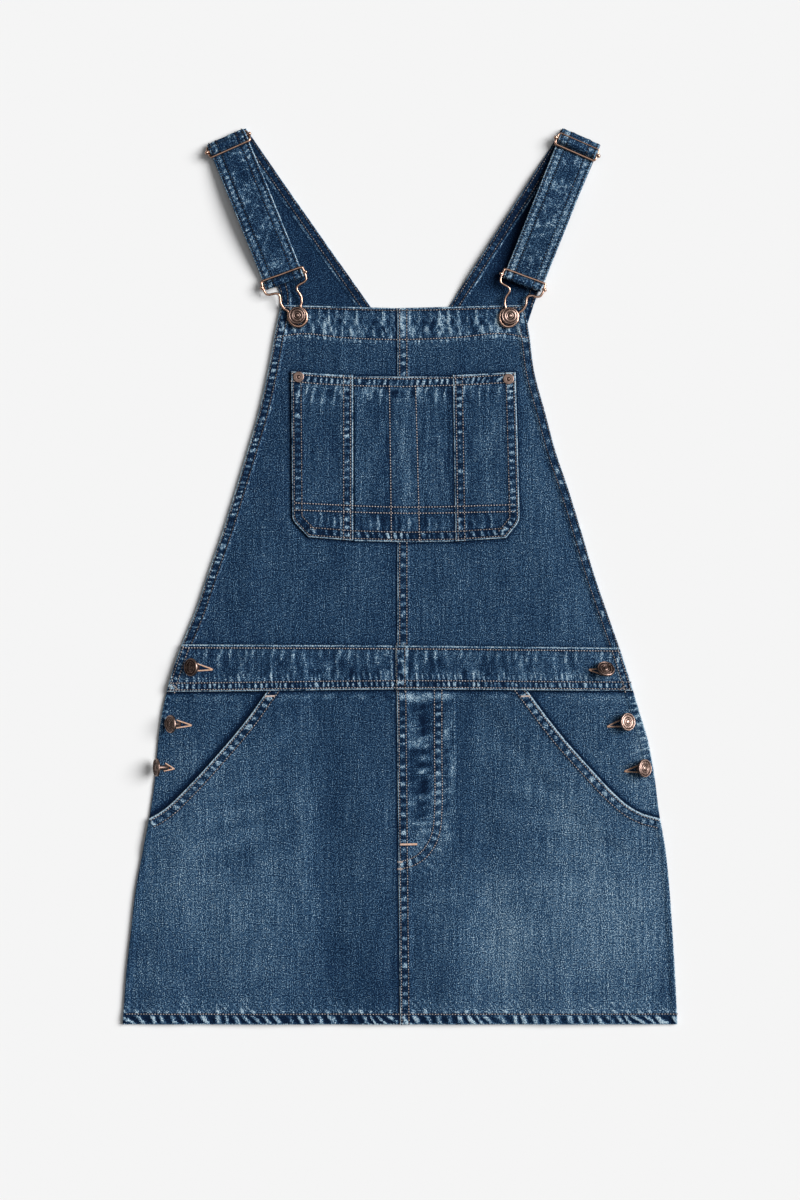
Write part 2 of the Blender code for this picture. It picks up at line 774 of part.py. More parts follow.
def make_bib_buttons(maker):
    for side, (x, y) in BIB_BUTTON.items():
        name = "bib_button_" + side
        head = button_head(maker, name)
        underside = ring_height(side) + WIRE_RADIUS + GAP
        place(head, x, y, underside)
        foot = (x, y, highest(bib_top, x, y, SHANK_RADIUS) + LAYER_GAP)
        stem = shank(maker, name + "_shank", foot, (x, y, underside), (0.0, 0.0, 1.0))
        maker.unite(head, [stem])


def highest(height, x, y, radius):
    """The highest point of a surface under a round foot."""
    return max(height(x + dx, y + dy) for dx in (-radius, 0, radius) for dy in (-radius, 0, radius))


def side_top(button, x, y):
    """The top of the cloth under a side button: the waistband's or the side panel's."""
    if button.number == 1:
        return waistband_height(x, y) + BAND
    return front_height(x, y) + CLOTH


def make_side_buttons(maker):
    for button in SIDE_BUTTONS:
        name = "side_button_{}_{}".format(button.side, button.number)
        tilt = math.radians(button.tilt)
        facing = math.radians(button.facing)
        direction = (math.sin(tilt) * math.cos(facing), math.sin(tilt) * math.sin(facing), math.cos(tilt))
        reach = highest(lambda x, y: side_top(button, x, y), button.shank_x, button.shank_y, SHANK_RADIUS)
        under_head = highest(lambda x, y: side_top(button, x, y), button.head_x, button.head_y, BUTTON_RADIUS)
        lift = under_head + LAYER_GAP + BUTTON_RADIUS * math.sin(tilt)
        head = button_head(maker, name)
        place(head, button.head_x, button.head_y, lift, (0, button.tilt, button.facing))
        foot = (button.shank_x, button.shank_y, reach + LAYER_GAP)
        stem = shank(maker, name + "_shank", foot, (button.head_x, button.head_y, lift), direction)
        maker.unite(head, [stem])


def make_rivets(maker):
    for side, (x, y) in RIVET.items():
        profile = [(0.0, 1.5), (1.5, 1.5), (1.9, 0.9), (3.2, 1.2), (RIVET_RADIUS, 0.6), (RIVET_RADIUS, 0.0),
                   (0.0, 0.0)]
        rivet = turned_piece(maker, "rivet_" + side, profile, 20, "aged_copper")
        place(rivet, x, y, highest(pocket_height, x, y, RIVET_RADIUS) + CLOTH + LAYER_GAP)


def main():
    clear_scene()
    maker = Maker("overall skirt")
    make_back(maker)
    make_back_bib(maker)
    make_front_skirt(maker)
    make_front_waistband(maker)
    make_front_bib(maker)
    make_bib_pocket(maker)
    make_straps(maker)
    make_sliders(maker)
    make_buckles(maker)
    make_bib_buttons(maker)
    make_side_buttons(maker)
    make_rivets(maker)


main()
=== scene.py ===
"""Overall skirt, the looks: a worn denim dungaree dress laid flat, seen from straight above.

Sizes are in millimetres in the part's own frame until a mesh is made. Each cloth piece is a thin
shell on its solid's form: a fine grid over its shown side, a coarse one under it and a rounded rim.
Seams are lines on the cloth. One table of them gives the relief, the wear, and the dye with
painted shade around each line, and the places of its stitches.
"""

import json
import math
from collections import namedtuple

import bpy
import numpy as np
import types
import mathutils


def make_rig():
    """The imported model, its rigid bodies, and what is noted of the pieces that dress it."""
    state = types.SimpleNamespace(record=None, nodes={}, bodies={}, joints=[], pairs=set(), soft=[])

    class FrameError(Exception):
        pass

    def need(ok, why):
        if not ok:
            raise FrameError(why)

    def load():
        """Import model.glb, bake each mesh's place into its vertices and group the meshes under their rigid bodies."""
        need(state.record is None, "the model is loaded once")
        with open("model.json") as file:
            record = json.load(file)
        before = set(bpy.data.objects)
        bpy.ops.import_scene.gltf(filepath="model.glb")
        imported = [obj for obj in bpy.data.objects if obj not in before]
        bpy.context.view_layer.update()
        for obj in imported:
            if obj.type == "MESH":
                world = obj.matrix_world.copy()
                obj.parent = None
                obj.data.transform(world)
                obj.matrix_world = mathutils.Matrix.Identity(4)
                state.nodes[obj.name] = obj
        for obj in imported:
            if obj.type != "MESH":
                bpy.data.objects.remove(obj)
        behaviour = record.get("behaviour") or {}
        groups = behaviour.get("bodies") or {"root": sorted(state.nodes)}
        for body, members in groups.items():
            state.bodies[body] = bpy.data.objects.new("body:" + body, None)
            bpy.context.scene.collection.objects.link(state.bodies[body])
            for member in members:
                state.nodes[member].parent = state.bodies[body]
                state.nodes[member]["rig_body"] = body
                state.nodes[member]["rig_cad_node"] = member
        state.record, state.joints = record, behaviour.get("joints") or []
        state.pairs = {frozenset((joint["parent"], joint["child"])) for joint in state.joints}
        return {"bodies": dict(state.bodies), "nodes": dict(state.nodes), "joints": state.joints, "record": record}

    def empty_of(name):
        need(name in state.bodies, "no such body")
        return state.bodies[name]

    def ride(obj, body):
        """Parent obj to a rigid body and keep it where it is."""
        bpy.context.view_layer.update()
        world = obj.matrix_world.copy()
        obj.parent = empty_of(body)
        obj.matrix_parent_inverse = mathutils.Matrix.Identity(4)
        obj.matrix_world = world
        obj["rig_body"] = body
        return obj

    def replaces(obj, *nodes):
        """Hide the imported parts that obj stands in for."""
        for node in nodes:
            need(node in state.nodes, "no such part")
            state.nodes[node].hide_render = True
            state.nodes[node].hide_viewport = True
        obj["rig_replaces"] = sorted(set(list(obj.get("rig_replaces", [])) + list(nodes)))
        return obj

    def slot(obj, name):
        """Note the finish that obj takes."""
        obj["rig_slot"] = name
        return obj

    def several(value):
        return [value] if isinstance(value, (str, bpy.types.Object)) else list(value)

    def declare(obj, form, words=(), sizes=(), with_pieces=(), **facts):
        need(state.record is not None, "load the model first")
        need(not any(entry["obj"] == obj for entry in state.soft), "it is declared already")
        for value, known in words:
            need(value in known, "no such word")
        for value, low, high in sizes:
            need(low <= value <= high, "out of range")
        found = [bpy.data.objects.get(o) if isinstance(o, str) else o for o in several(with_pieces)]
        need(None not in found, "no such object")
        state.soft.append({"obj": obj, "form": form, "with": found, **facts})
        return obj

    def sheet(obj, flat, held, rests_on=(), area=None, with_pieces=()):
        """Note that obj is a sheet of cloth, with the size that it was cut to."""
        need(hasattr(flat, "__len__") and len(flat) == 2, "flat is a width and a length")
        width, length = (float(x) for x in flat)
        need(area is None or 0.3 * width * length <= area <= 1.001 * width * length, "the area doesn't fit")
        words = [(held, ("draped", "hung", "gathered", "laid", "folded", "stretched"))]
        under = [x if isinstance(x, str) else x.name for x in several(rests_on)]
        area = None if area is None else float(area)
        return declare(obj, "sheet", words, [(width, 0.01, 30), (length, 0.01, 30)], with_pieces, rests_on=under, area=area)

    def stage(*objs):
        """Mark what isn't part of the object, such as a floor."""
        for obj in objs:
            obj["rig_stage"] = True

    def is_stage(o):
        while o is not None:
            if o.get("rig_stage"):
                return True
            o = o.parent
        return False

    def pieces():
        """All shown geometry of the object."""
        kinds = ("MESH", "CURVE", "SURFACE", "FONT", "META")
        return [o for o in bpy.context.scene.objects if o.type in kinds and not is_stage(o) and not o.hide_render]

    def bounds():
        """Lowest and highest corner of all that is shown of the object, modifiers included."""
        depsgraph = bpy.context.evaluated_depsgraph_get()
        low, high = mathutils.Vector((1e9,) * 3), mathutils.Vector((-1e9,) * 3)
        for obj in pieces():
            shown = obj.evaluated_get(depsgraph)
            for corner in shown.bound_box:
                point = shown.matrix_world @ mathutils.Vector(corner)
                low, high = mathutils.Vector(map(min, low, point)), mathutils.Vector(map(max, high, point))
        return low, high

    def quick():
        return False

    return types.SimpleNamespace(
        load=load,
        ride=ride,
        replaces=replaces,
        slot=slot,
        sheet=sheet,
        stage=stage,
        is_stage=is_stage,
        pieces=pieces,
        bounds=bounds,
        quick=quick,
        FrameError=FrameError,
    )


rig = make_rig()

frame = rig.load()
CAD_LOW, CAD_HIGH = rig.bounds()
bpy.ops.object.select_all(action="DESELECT")

MM = 0.001

# ---------------------------------------------------------------- the sizes that the solids have too

CLOTH = 1.1               # thickness of one layer
BAND = 1.8
STRAP = 1.8
GAP = 0.3
LAYER_GAP = 0.5
FRONT_REST = CLOTH + GAP
FRONT_PUFF = 1.9
EDGE_ROUNDING = 48.0
POCKET_FACING = 28.0
LAP_FADE = 16.0
FOLD_FADE = 0.3
FOLD_LIMIT = 1.3
CREASE_FADE = 0.45

WAIST_TOP_Y = -66.0
WAIST_BOTTOM_Y = -105.0
HEM_Y = -412.6
BACK_HEM_Y = -411.9
UNDER_BAND = 8.0          # the bib and the skirt run in under the waistband
SKIRT_TOP_Y = WAIST_BOTTOM_Y + UNDER_BAND
BIB_FOOT_Y = WAIST_TOP_Y - UNDER_BAND
BIB_TOP_Y = 249.6
BIB_CENTRE_Y = 246.6
POCKET_END_Y = -223.0     # where the slanted pocket edges meet the sides
POCKET_CORNER = 5.0

STRAP_WIDTH = 37.0
WIRE_RADIUS = 1.15
RING_RADIUS = 1.5        # where the buckle's wire rounds the button
FRAME_HALF = 20.1
KNOB_RADIUS = 1.8
KNOB_REACH = 21.4
SLIDER_BAR = 5.8
SLIDER_TOP = 11.5
BUCKLE_BAR = 5.7
BUCKLE_RING = 40.7
SLIDER_Z = 8.9
BUCKLE_Z = 7.2
STRAP_ARCH = 5.2
RETURN_ARCH = 4.0
BUTTON_RADIUS = 8.4
SHANK_RADIUS = 2.6
RIVET_RADIUS = 4.95

Edge = namedtuple("Edge", "y left right")
OUTLINE = [Edge(*row) for row in (
    (250, -109.5, 113.6), (226, -114.5, 118.5), (189, -121.4, 123.4), (151, -130.0, 133.5),
    (114, -140.8, 143.5), (80, -151.0, 155.0), (46, -161.5, 165.5), (4, -176.0, 178.0), (-33, -188.5, 190.5),
    (-66, -202.0, 202.0), (-105, -214.5, 214.5), (-125, -219.0, 220.5), (-150, -222.6, 228.0),
    (-180, -225.0, 233.7), (-217, -230.0, 238.5), (-254, -237.0, 244.7), (-291, -243.8, 248.4),
    (-328, -248.0, 251.0), (-364, -252.0, 253.2), (HEM_Y, -255.4, 255.4),
)]
POCKET_EDGE = [Edge(*row) for row in (
    (-97, -116.0, 110.5), (-110, -125.3, 120.3), (-130, -139.5, 135.2), (-148, -154.0, 149.4),
    (-165, -168.8, 164.2), (-181, -183.0, 178.8), (-200, -201.2, 196.9), (-211, -212.6, 209.6),
    (-218, -222.0, 221.8), (-223, -231.0, 239.4),
)]

Fold = namedtuple("Fold", "x_start y_start x_end y_end half_width height wear", defaults=(0.0,))
FOLDS = [Fold(*row) for row in (
    (-68, -140, -60, -470, 17, -1.25), (-26, -190, -18, -470, 17, 0.55), (-118, -225, -130, -480, 26, 0.85),
    (-176, -250, -188, -480, 14, -0.65), (66, -112, 96, -470, 16, -1.05), (48, -255, 46, -470, 15, 0.5),
    (130, -240, 144, -480, 25, 0.85), (114, -340, 106, -470, 10, -0.8), (200, -270, 214, -480, 13, -0.6),
    (-196, -262, -60, -214, 9, -0.5), (62, -196, 186, -246, 9, -0.5), (-66, 25, -78, -120, 16, -0.55),
    (84, 25, 92, -120, 16, -0.55), (-128, 60, -150, -60, 12, 0.5), (128, 70, 150, -60, 12, 0.5),
)]

Fitting = namedtuple("Fitting", "x y turn")
SLIDER = {"left": Fitting(-155.5, 392.3, 24.0), "right": Fitting(160.4, 389.0, -23.6)}
BUCKLE = {"left": Fitting(-108.8, 277.4, 20.0), "right": Fitting(115.0, 275.6, -20.5)}
FOLD_REACH = {"left": 13.2, "right": 17.0}
BIB_BUTTON = {"left": (-94.6, 239.4), "right": (101.0, 239.1)}
# How far the wire's ring is shifted under its button, across and down.
RING_SHIFT = {"left": (0.6, 0.2), "right": (-0.9, -1.2)}
RIVET = {"left": (-93.3, 183.0), "right": (99.7, 181.1)}

# Each side button: its head, its shank and the far end of its buttonhole.
SideButton = namedtuple(
    "SideButton", "side number head_x head_y tilt facing shank_x shank_y grime apex_x apex_y")
SIDE_BUTTONS = [SideButton(*row) for row in (
    ("left", 1, -191.2, -83.7, 41, 180, -186.0, -84.0, 0.6, -173.3, -85.8),
    ("left", 2, -209.9, -135.9, 52, 180, -203.5, -136.4, 0.35, -193.0, -137.3),
    ("left", 3, -222.5, -175.7, 68, 180, -214.5, -176.2, 0.45, -208.9, -177.2),
    ("right", 1, 188.6, -85.7, 42, 75, 187.6, -88.0, 0.5, 175.0, -86.3),
    ("right", 2, 208.6, -134.0, 33, 8, 204.2, -135.2, 0.0, 191.9, -138.2),
    ("right", 3, 224.1, -176.5, 40, 4, 219.0, -177.6, 0.3, 207.8, -179.5),
)]

WirePoint = namedtuple("WirePoint", "across down")
BUCKLE_WIRE = [WirePoint(*row) for row in (
    (0.0, 0.0), (17.6, 0.0), (20.1, 2.2), (20.1, 10.6), (17.6, 13.6), (10.8, 14.9), (8.5, 18.0), (9.8, 24.5),
    (8.7, 30.0), (6.2, 34.0), (7.8, 38.0), (8.1, 43.2), (5.2, 48.4), (0.0, 50.4),
)]

BibHalf = namedtuple("BibHalf", "outer_x outer_y inner_x inner_y")
NECK_X = 11.0
NECK_Y = 193.4
BACK_BIB_TOP = {side: [BibHalf(*row) for row in rows] for side, rows in (
    ("left", ((-177.0, 394.4, -142.0, 412.5), (-155.0, 348.8, -105.0, 359.0), (-132.6, 302.6, -66.0, 303.3),
              (-110.5, 257.0, -27.6, 248.8), (-113.0, 232.0, -9.0, 222.0))),
    ("right", ((184.6, 397.0, 149.6, 412.5), (164.8, 350.0, 115.6, 358.0), (145.2, 303.0, 80.8, 303.6),
              (125.4, 256.0, 46.0, 249.3), (118.0, 234.0, 29.0, 222.0))),
)}

# The bib pocket: its outline from the top left corner down, round and up to the top right one,
# and the two folded edges that lap its middle panel.
POCKET_SIDES = {
    "left": [(-100.2, 188.3), (-99.1, 51.3), (-84.3, 35.8)],
    "right": [(97.2, 35.0), (110.0, 50.5), (106.3, 187.6)],
}
POCKET_TOP = {"left": 188.3, "left_fold": 185.3, "middle": 183.4, "right_fold": 185.2, "right": 187.6}
POCKET_FOOT = {"left": 35.8, "left_fold": 32.6, "middle": 31.4, "right_fold": 31.9, "right": 35.0}
POCKET_FOLD = {"left": [(-43.1, 32.6), (-43.1, 185.3)], "right": [(48.5, 185.2), (50.9, 31.9)]}

# The waistband's top and bottom edges: their heights at the left end, at the right end and in the middle.
WAIST_EDGE_Y = (-62.8, -65.9, -63.8)
WAIST_FOOT_Y = (-106.6, -105.6, -104.2)

PANEL_FOOT_Y = -232.0     # the side panels end under the front
PANEL_RUN_IN = 20.0       # and run in under the slanted pocket edges
BACK_SKIRT_TOP_Y = -105.2
BACK_BAND_Y = (-66.2, -104.8)
BACK_BIB_FOOT_Y = -65.7
BACK_INSET = 1.5          # how far the back bib stays inside the front one
BIB_COVERS_Y = 236.0      # from here down the front bib covers the back one

# Where the right half laps the left one down the centre.
LAP = {
    "bib": [(-2.6, 246.4), (-2.6, -76.0)],
    "waist": [(-4.3, -61.0), (-4.3, -107.0)],
    "skirt": [(-3.2, -95.0), (-0.1, HEM_Y)],
}

# ---------------------------------------------------------------- what only the looks have

# Smaller creases in the front's cloth, and how worn their crests are.
CREASES = [Fold(*row) for row in (
    (-200, -212, -88, -178, 4.5, 0.45, 0.10), (-210, -236, -78, -196, 6.0, 0.50, 0.15),
    (-220, -262, -92, -224, 7.0, 0.50, 0.14), (-210, -286, -86, -256, 7.0, 0.35, 0.09),
    (-216, -312, -120, -290, 8.0, 0.30, 0.06), (-170, -168, -78, -140, 5.0, 0.35, 0.05),
    (60, -150, 160, -186, 6.0, 0.40, 0.10), (60, -186, 180, -212, 5.5, 0.50, 0.14),
    (70, -214, 216, -240, 6.5, 0.50, 0.15), (84, -246, 226, -264, 7.0, 0.45, 0.13),
    (70, -278, 220, -292, 8.0, 0.40, 0.10), (14, -292, 104, -306, 7.0, 0.30, 0.07),
    (60, -330, 200, -326, 10.0, 0.30, 0.06), (-58, -250, -10, -262, 4.0, 0.30, 0.05),
    (-92, -150, -86, -330, 7.0, 0.40, 0.04), (-38, -120, -34, -300, 6.0, 0.35, 0.02),
    (24, -290, 30, -430, 8.0, 0.40, 0.05), (152, -290, 158, -430, 9.0, 0.45, 0.04),
    (182, -300, 190, -430, 7.0, -0.40), (-150, -300, -158, -430, 8.0, 0.40, 0.04),
    (-216, -290, -228, -430, 7.0, 0.40, 0.04), (-70, 24, -30, -60, 8.0, 0.35, 0.02),
    (62, 24, 40, -60, 8.0, 0.35, 0.03), (-160, -40, -56, -62, 6.0, 0.30, 0.03),
    (-112, 150, -134, 60, 6.0, 0.30), (120, 150, 142, 60, 6.0, 0.30, 0.03),
    (-64, 216, -50, 190, 5.0, 0.25, 0.02),
)]

# How light the denim is, 0 black to 255 white: the base on each side, and worn or darker fields, some of them painted
# shade.
TONE_LEFT = 53.5
TONE_RIGHT = 59.5
Field = namedtuple("Field", "x y half_x half_y lift")
FIELDS = [Field(*row) for row in (
    # the thighs, painted shade in the trough between them, and the darker foot of the front
    (-204, -262, 46, 62, 20), (-136, -300, 62, 92, 20), (-62, -300, 13, 150, -9), (-22, -320, 22, 80, -4),
    (-10, -380, 46, 60, -7), (-178, -180, 40, 30, 13), (-152, -268, 34, 18, -9), (-214, -380, 50, 30, 9),
    (28, -252, 24, 66, 9), (92, -342, 30, 64, 27), (140, -300, 50, 100, 13), (204, -322, 46, 72, 29),
    (166, -214, 32, 48, 15), (232, -150, 18, 50, 10), (236, -250, 16, 90, 13), (0, -280, 300, 120, 4),
    (38, -230, 10, 70, 7), (115, -185, 12, 16, 8), (80, -150, 20, 28, 6), (-90, -168, 10, 12, 7),
    (-195, -235, 12, 45, 7), (-232, -312, 16, 20, 10), (150, -368, 70, 20, 5), (-140, -250, 90, 36, -5),
    (105, -252, 32, 40, -9), (222, -178, 14, 48, 14), (-88, -240, 9, 90, 9), (-8, -210, 6, 90, 6),
    (-160, -168, 40, 14, 6), (-218, -119, 8, 10, -8), (-120, -420, 150, 30, -8), (176, -30, 40, 80, 6),
    (0, 90, 170, 140, -2),
    # beside the fly
    (46, -165, 4.6, 54, 30), (22, -180, 11, 58, -9), (7, -110.6, 9, 4.0, 125), (34, -110.8, 15, 4.0, 75),
    (38, -186, 4, 34, 30), (14, -224, 11, 11, -20), (22, -125, 17, 12, -19), (56, -150, 9, 50, -6),
    (8, -247, 9, 2.0, -26), (8, -180, 3, 60, 5),
    # the centre strip at the top of the bib, the pocket's top
    (3.4, 237, 4.2, 12, 84), (3.2, 214, 3.6, 7, 26), (-38, 228, 30, 14, 9), (0, 241, 60, 7, 7),
    (-113, 214, 8, 12, 14), (14, 241, 8, 8, 12), (-14, 165, 44, 9, 9), (76, 165, 22, 9, 6),
    (-76, 165, 20, 9, 6),
    # the waistband, and just under it
    (0, -86, 230, 15, -7), (-30, -92, 44, 11, -9), (90, -92, 34, 11, -7), (-115, -70, 24, 8, 8),
    (196, -92, 10, 12, 15), (115, -93, 10, 12, 12), (-170, -111, 40, 3.0, 18), (-60, -111, 50, 2.6, 12),
    (110, -111, 40, 2.6, 14), (190, -112, 30, 4.0, 22),
    # the bib pocket's middle strip, and beside its folded edges lighter cloth and painted shade
    (6, 108, 10, 68, 25), (-38, 100, 4, 90, 10), (-40, 120, 34, 70, 8), (80, 190, 50, 60, -7),
    (50, -40, 40, 40, -4), (-60, 100, 5, 90, -9), (66, 100, 5, 90, -9), (80, 110, 8, 70, 5),
    (-38, 130, 12, 110, 6), (118, 125, 13, 90, 8), (-36, 48, 12, 26, 7), (42, 45, 12, 22, 6),
    (-88, 60, 10, 14, 9), (52, 122, 18, 24, 4), (139, 66, 14, 28, 7),
    # painted shade in the slits under the side buttons
    (-181.5, -84.7, 4, 1.7, -30), (-199.5, -136.8, 4, 1.7, -30), (-212, -176.7, 3, 1.7, -30),
    (183, -87.3, 4, 1.7, -30), (199.5, -136.4, 4, 1.7, -30), (214.8, -178.4, 4, 1.7, -30),
)]

# Places where the cloth is patchy, pale over dark: how strong the patches are, and how big each is.
Patch = namedtuple("Patch", "x y half_x half_y lift across down")
PATCHES = [Patch(*row) for row in (
    (19, -178, 13, 66, 42, 11.0, 6.0), (44.5, -168, 5.5, 56, 46, 7.0, 9.0), (20, -111, 36, 3.2, 44, 4.0, 4.0),
    (-40, -111, 36, 2.6, 34, 5.0, 4.0), (0, 229, 112, 8, 34, 5.0, 9.0), (4, 170, 96, 8, 38, 6.0, 8.0),
    (0, -84, 214, 15, 24, 5.0, 10.0), (-120, -111, 60, 3, 28, 6.0, 5.0), (120, -111, 50, 3, 28, 6.0, 5.0),
    (-218, -118, 8, 16, 12, 5.0, 7.0), (226, -150, 8, 60, 18, 5.0, 8.0), (4, 48, 96, 9, 20, 5.0, 12.0),
    (4, 112, 94, 56, 15, 3.0, 20.0),
)]

# ---------------------------------------------------------------- small helpers

def lerp(start, end, share):
    return start + (end - start) * share


def smooth(share):
    """A soft step from 0 to 1."""
    share = np.clip(share, 0.0, 1.0)
    return share * share * (3.0 - 2.0 * share)


def hump(distance, half_width):
    return np.exp(-(distance / half_width) ** 2)


def wander(along, pitch, seed):
    """An uneven wave between -1 and 1 along a line, about one swing in each pitch."""
    count = 256
    knots = np.random.default_rng(seed).uniform(-1.0, 1.0, count)
    spot = np.asarray(along) / pitch + 101.0
    cell = np.floor(spot).astype(int)
    return lerp(knots[cell % count], knots[(cell + 1) % count], smooth(spot - cell))


def mottle(x, y, across, down, seed):
    """The same over a surface, one swing in each across by down."""
    count = 96
    knots = np.random.default_rng(seed).uniform(-1.0, 1.0, (count, count))
    u = x / across + 500.0
    v = y / down + 500.0
    column = np.floor(u).astype(int)
    row = np.floor(v).astype(int)
    left, right = (lerp(knots[row % count, near % count], knots[(row + 1) % count, near % count],
                        smooth(v - row))
                   for near in (column, column + 1))
    return lerp(left, right, smooth(u - column))


def run_of(points):
    """The distance along a line of points, at each one."""
    return np.concatenate([[0.0], np.cumsum(np.linalg.norm(np.diff(points, axis=0), axis=1))])


def soft(points):
    """A smooth line through points, with a point in about every millimetre."""
    spots = np.array(points, float)
    steps = np.diff(spots, axis=0)
    gaps = np.linalg.norm(steps, axis=1)[:, None]
    slopes = steps / gaps
    inner = (slopes[:-1] * gaps[1:] + slopes[1:] * gaps[:-1]) / (gaps[:-1] + gaps[1:])
    turns = np.vstack([slopes[:1], inner, slopes[-1:]])
    line = [spots[:1]]
    for index, gap in enumerate(gaps[:, 0]):
        t = np.linspace(0.0, 1.0, max(2, int(gap) + 1))[1:, None]
        line.append((2 * t ** 3 - 3 * t ** 2 + 1) * spots[index]
                    + (t ** 3 - 2 * t ** 2 + t) * gap * turns[index]
                    + (3 * t ** 2 - 2 * t ** 3) * spots[index + 1] + (t ** 3 - t ** 2) * gap * turns[index + 1])
    return np.vstack(line)


def cornered(points, radius):
    """A line through points with its corners rounded."""
    spots = np.array(points, float)
    line = [spots[:1]]
    t = np.linspace(0.0, 1.0, 9)[:, None]
    for before, corner, after in zip(spots, spots[1:], spots[2:]):
        start, end = (corner + (away - corner) * min(radius / np.linalg.norm(away - corner), 0.5)
                      for away in (before, after))
        line.append((1 - t) ** 2 * start + 2 * t * (1 - t) * corner + t ** 2 * end)
    return np.vstack(line + [spots[-1:]])


class Track:
    """A line in a plane with evenly spaced points, and its heading at each of them."""

    def __init__(self, points, count):
        points = np.asarray(points, float)
        run = run_of(points)
        self.length = run[-1]
        self.along = np.linspace(0.0, self.length, count(self.length))
        self.spots = np.column_stack([np.interp(self.along, run, points[:, axis]) for axis in (0, 1)])
        step = np.gradient(self.spots, axis=0)
        self.heading = step / np.linalg.norm(step, axis=1)[:, None]

    def at(self, along):
        """Both coordinates and both parts of the heading at distances along the line."""
        return [np.interp(along, self.along, values[:, axis])
                for values in (self.spots, self.heading) for axis in (0, 1)]


class Line(Track):
    """A line on the cloth. What lies to its left is inside it."""

    def __init__(self, points):
        super().__init__(points, lambda length: max(2, int(length) + 1))

    def follow(self, x, y, reach):
        """The points within reach, how far inside the line they are, and how far along it."""
        near = np.arange(len(x))
        for stride in (16, 1):
            spots = self.spots[::stride]
            kept = [near[:0]]
            closest = [near[:0]]
            for chunk in np.array_split(near, len(near) // 3000 + 1):
                gaps = (x[chunk, None] - spots[:, 0]) ** 2 + (y[chunk, None] - spots[:, 1]) ** 2
                close = gaps.min(axis=1) < (reach + stride) ** 2
                kept.append(chunk[close])
                closest.append(gaps.argmin(axis=1)[close])
            near = np.concatenate(kept)
        nearest = np.concatenate(closest)
        step_x = x[near] - self.spots[nearest, 0]
        step_y = y[near] - self.spots[nearest, 1]
        heading_x, heading_y = self.heading[nearest].T
        inside = heading_x * step_y - heading_y * step_x
        return near, inside, self.along[nearest] + heading_x * step_x + heading_y * step_y

    def beside(self, along, inside):
        """Places at distances along the line and inside it."""
        x, y, heading_x, heading_y = self.at(along)
        return x - heading_y * inside, y + heading_x * inside


SIDES = ("left", "right")
EDGE_LINE = {side: soft([(getattr(row, side), row.y) for row in OUTLINE]) for side in SIDES}
POCKET_LINE = {side: soft([(getattr(row, side), row.y) for row in POCKET_EDGE]) for side in SIDES}
SIGN = {"left": -1.0, "right": 1.0}       # which way is outwards


def x_on(line, y):
    """The x of a line that runs downwards, at a height y."""
    return np.interp(-np.asarray(y, float), -line[:, 1], line[:, 0])


def part_of(line, top, bottom):
    """The stretch of a downward line between two heights."""
    y = np.linspace(top, bottom, max(2, int(top - bottom)))
    return np.column_stack([x_on(line, y), y])


def edge_pair(tops, feet):
    """The left edge running down and the right one running up, between heights (left, right)."""
    return (part_of(EDGE_LINE["left"], tops[0], feet[0]), part_of(EDGE_LINE["right"], tops[1], feet[1])[::-1])


def bib_half(side):
    """The outer and the inner edge of half of the back bib, running down."""
    rows = BACK_BIB_TOP[side]
    inner = soft([(row.inner_x, row.inner_y) for row in rows] + [(NECK_X, NECK_Y)])
    return soft([(row.outer_x, row.outer_y) for row in rows]), inner


# ---------------------------------------------------------------- the lie of the cloth

def fold_share(fold, x, y, fade):
    """How much of a fold there is at each point, 0 to 1."""
    along_x = fold.x_end - fold.x_start
    along_y = fold.y_end - fold.y_start
    length = math.hypot(along_x, along_y)
    share = ((x - fold.x_start) * along_x + (y - fold.y_start) * along_y) / length ** 2
    across = ((x - fold.x_start) * along_y - (y - fold.y_start) * along_x) / length
    return smooth(np.minimum(share, 1.0 - share) / fade) * hump(across, fold.half_width)


def front_height(x, y):
    """The height of the front layer's underside."""
    folds = sum(fold.height * fold_share(fold, x, y, FOLD_FADE) for fold in FOLDS)
    folds = np.clip(folds, -FOLD_LIMIT, FOLD_LIMIT)
    small = sum(crease.height * fold_share(crease, x, y, CREASE_FADE) for crease in CREASES)
    small = small + 0.30 * mottle(x, y, 24, 36, 1) + 0.12 * mottle(x, y, 9, 14, 2)
    inside = np.minimum(x - x_on(EDGE_LINE["left"], y), x_on(EDGE_LINE["right"], y) - x)
    height = FRONT_REST + smooth(inside / EDGE_ROUNDING) * (FRONT_PUFF + folds)
    return height + smooth(inside / 14.0) * small


def pocket_lap(x, y):
    """How far a side panel lifts what lies on it, near the slanted pocket edges."""
    nearest = np.full(np.shape(x), 1e6)
    for spot in np.vstack([POCKET_LINE[side][::6] for side in SIDES]):
        nearest = np.minimum(nearest, np.hypot(x - spot[0], y - spot[1]))
    return (CLOTH + LAYER_GAP) * (1.0 - smooth((nearest - POCKET_FACING) / LAP_FADE))


def back_height(x, y):
    """The back lies on the surface, but the neck edge of its right shoulder end stands up a little."""
    neck = 30.0 + 0.625 * (y - 222.0)
    curl = smooth((y - 244.0) / 40.0) * smooth((400.0 - y) / 40.0)
    curl = curl * smooth((neck + 16.0 - x) / 16.0) * (x > 10.0)
    return 0.25 + 0.2 * mottle(x, y, 18, 26, 3) + 3.2 * curl


def tone_at(x, y):
    """How light the cloth is before its seams: its dye and wear, with painted shade in some fields."""
    tone = lerp(TONE_LEFT, TONE_RIGHT, smooth((x + 60.0) / 160.0))
    for field in FIELDS:
        tone = tone + field.lift * hump(x - field.x, field.half_x) * hump(y - field.y, field.half_y)
    tone = tone + 3.6 * mottle(x, y, 30, 42, 4) + 2.6 * mottle(x, y, 11, 15, 5)
    return tone + sum(90.0 * crease.wear * fold_share(crease, x, y, CREASE_FADE) for crease in CREASES)


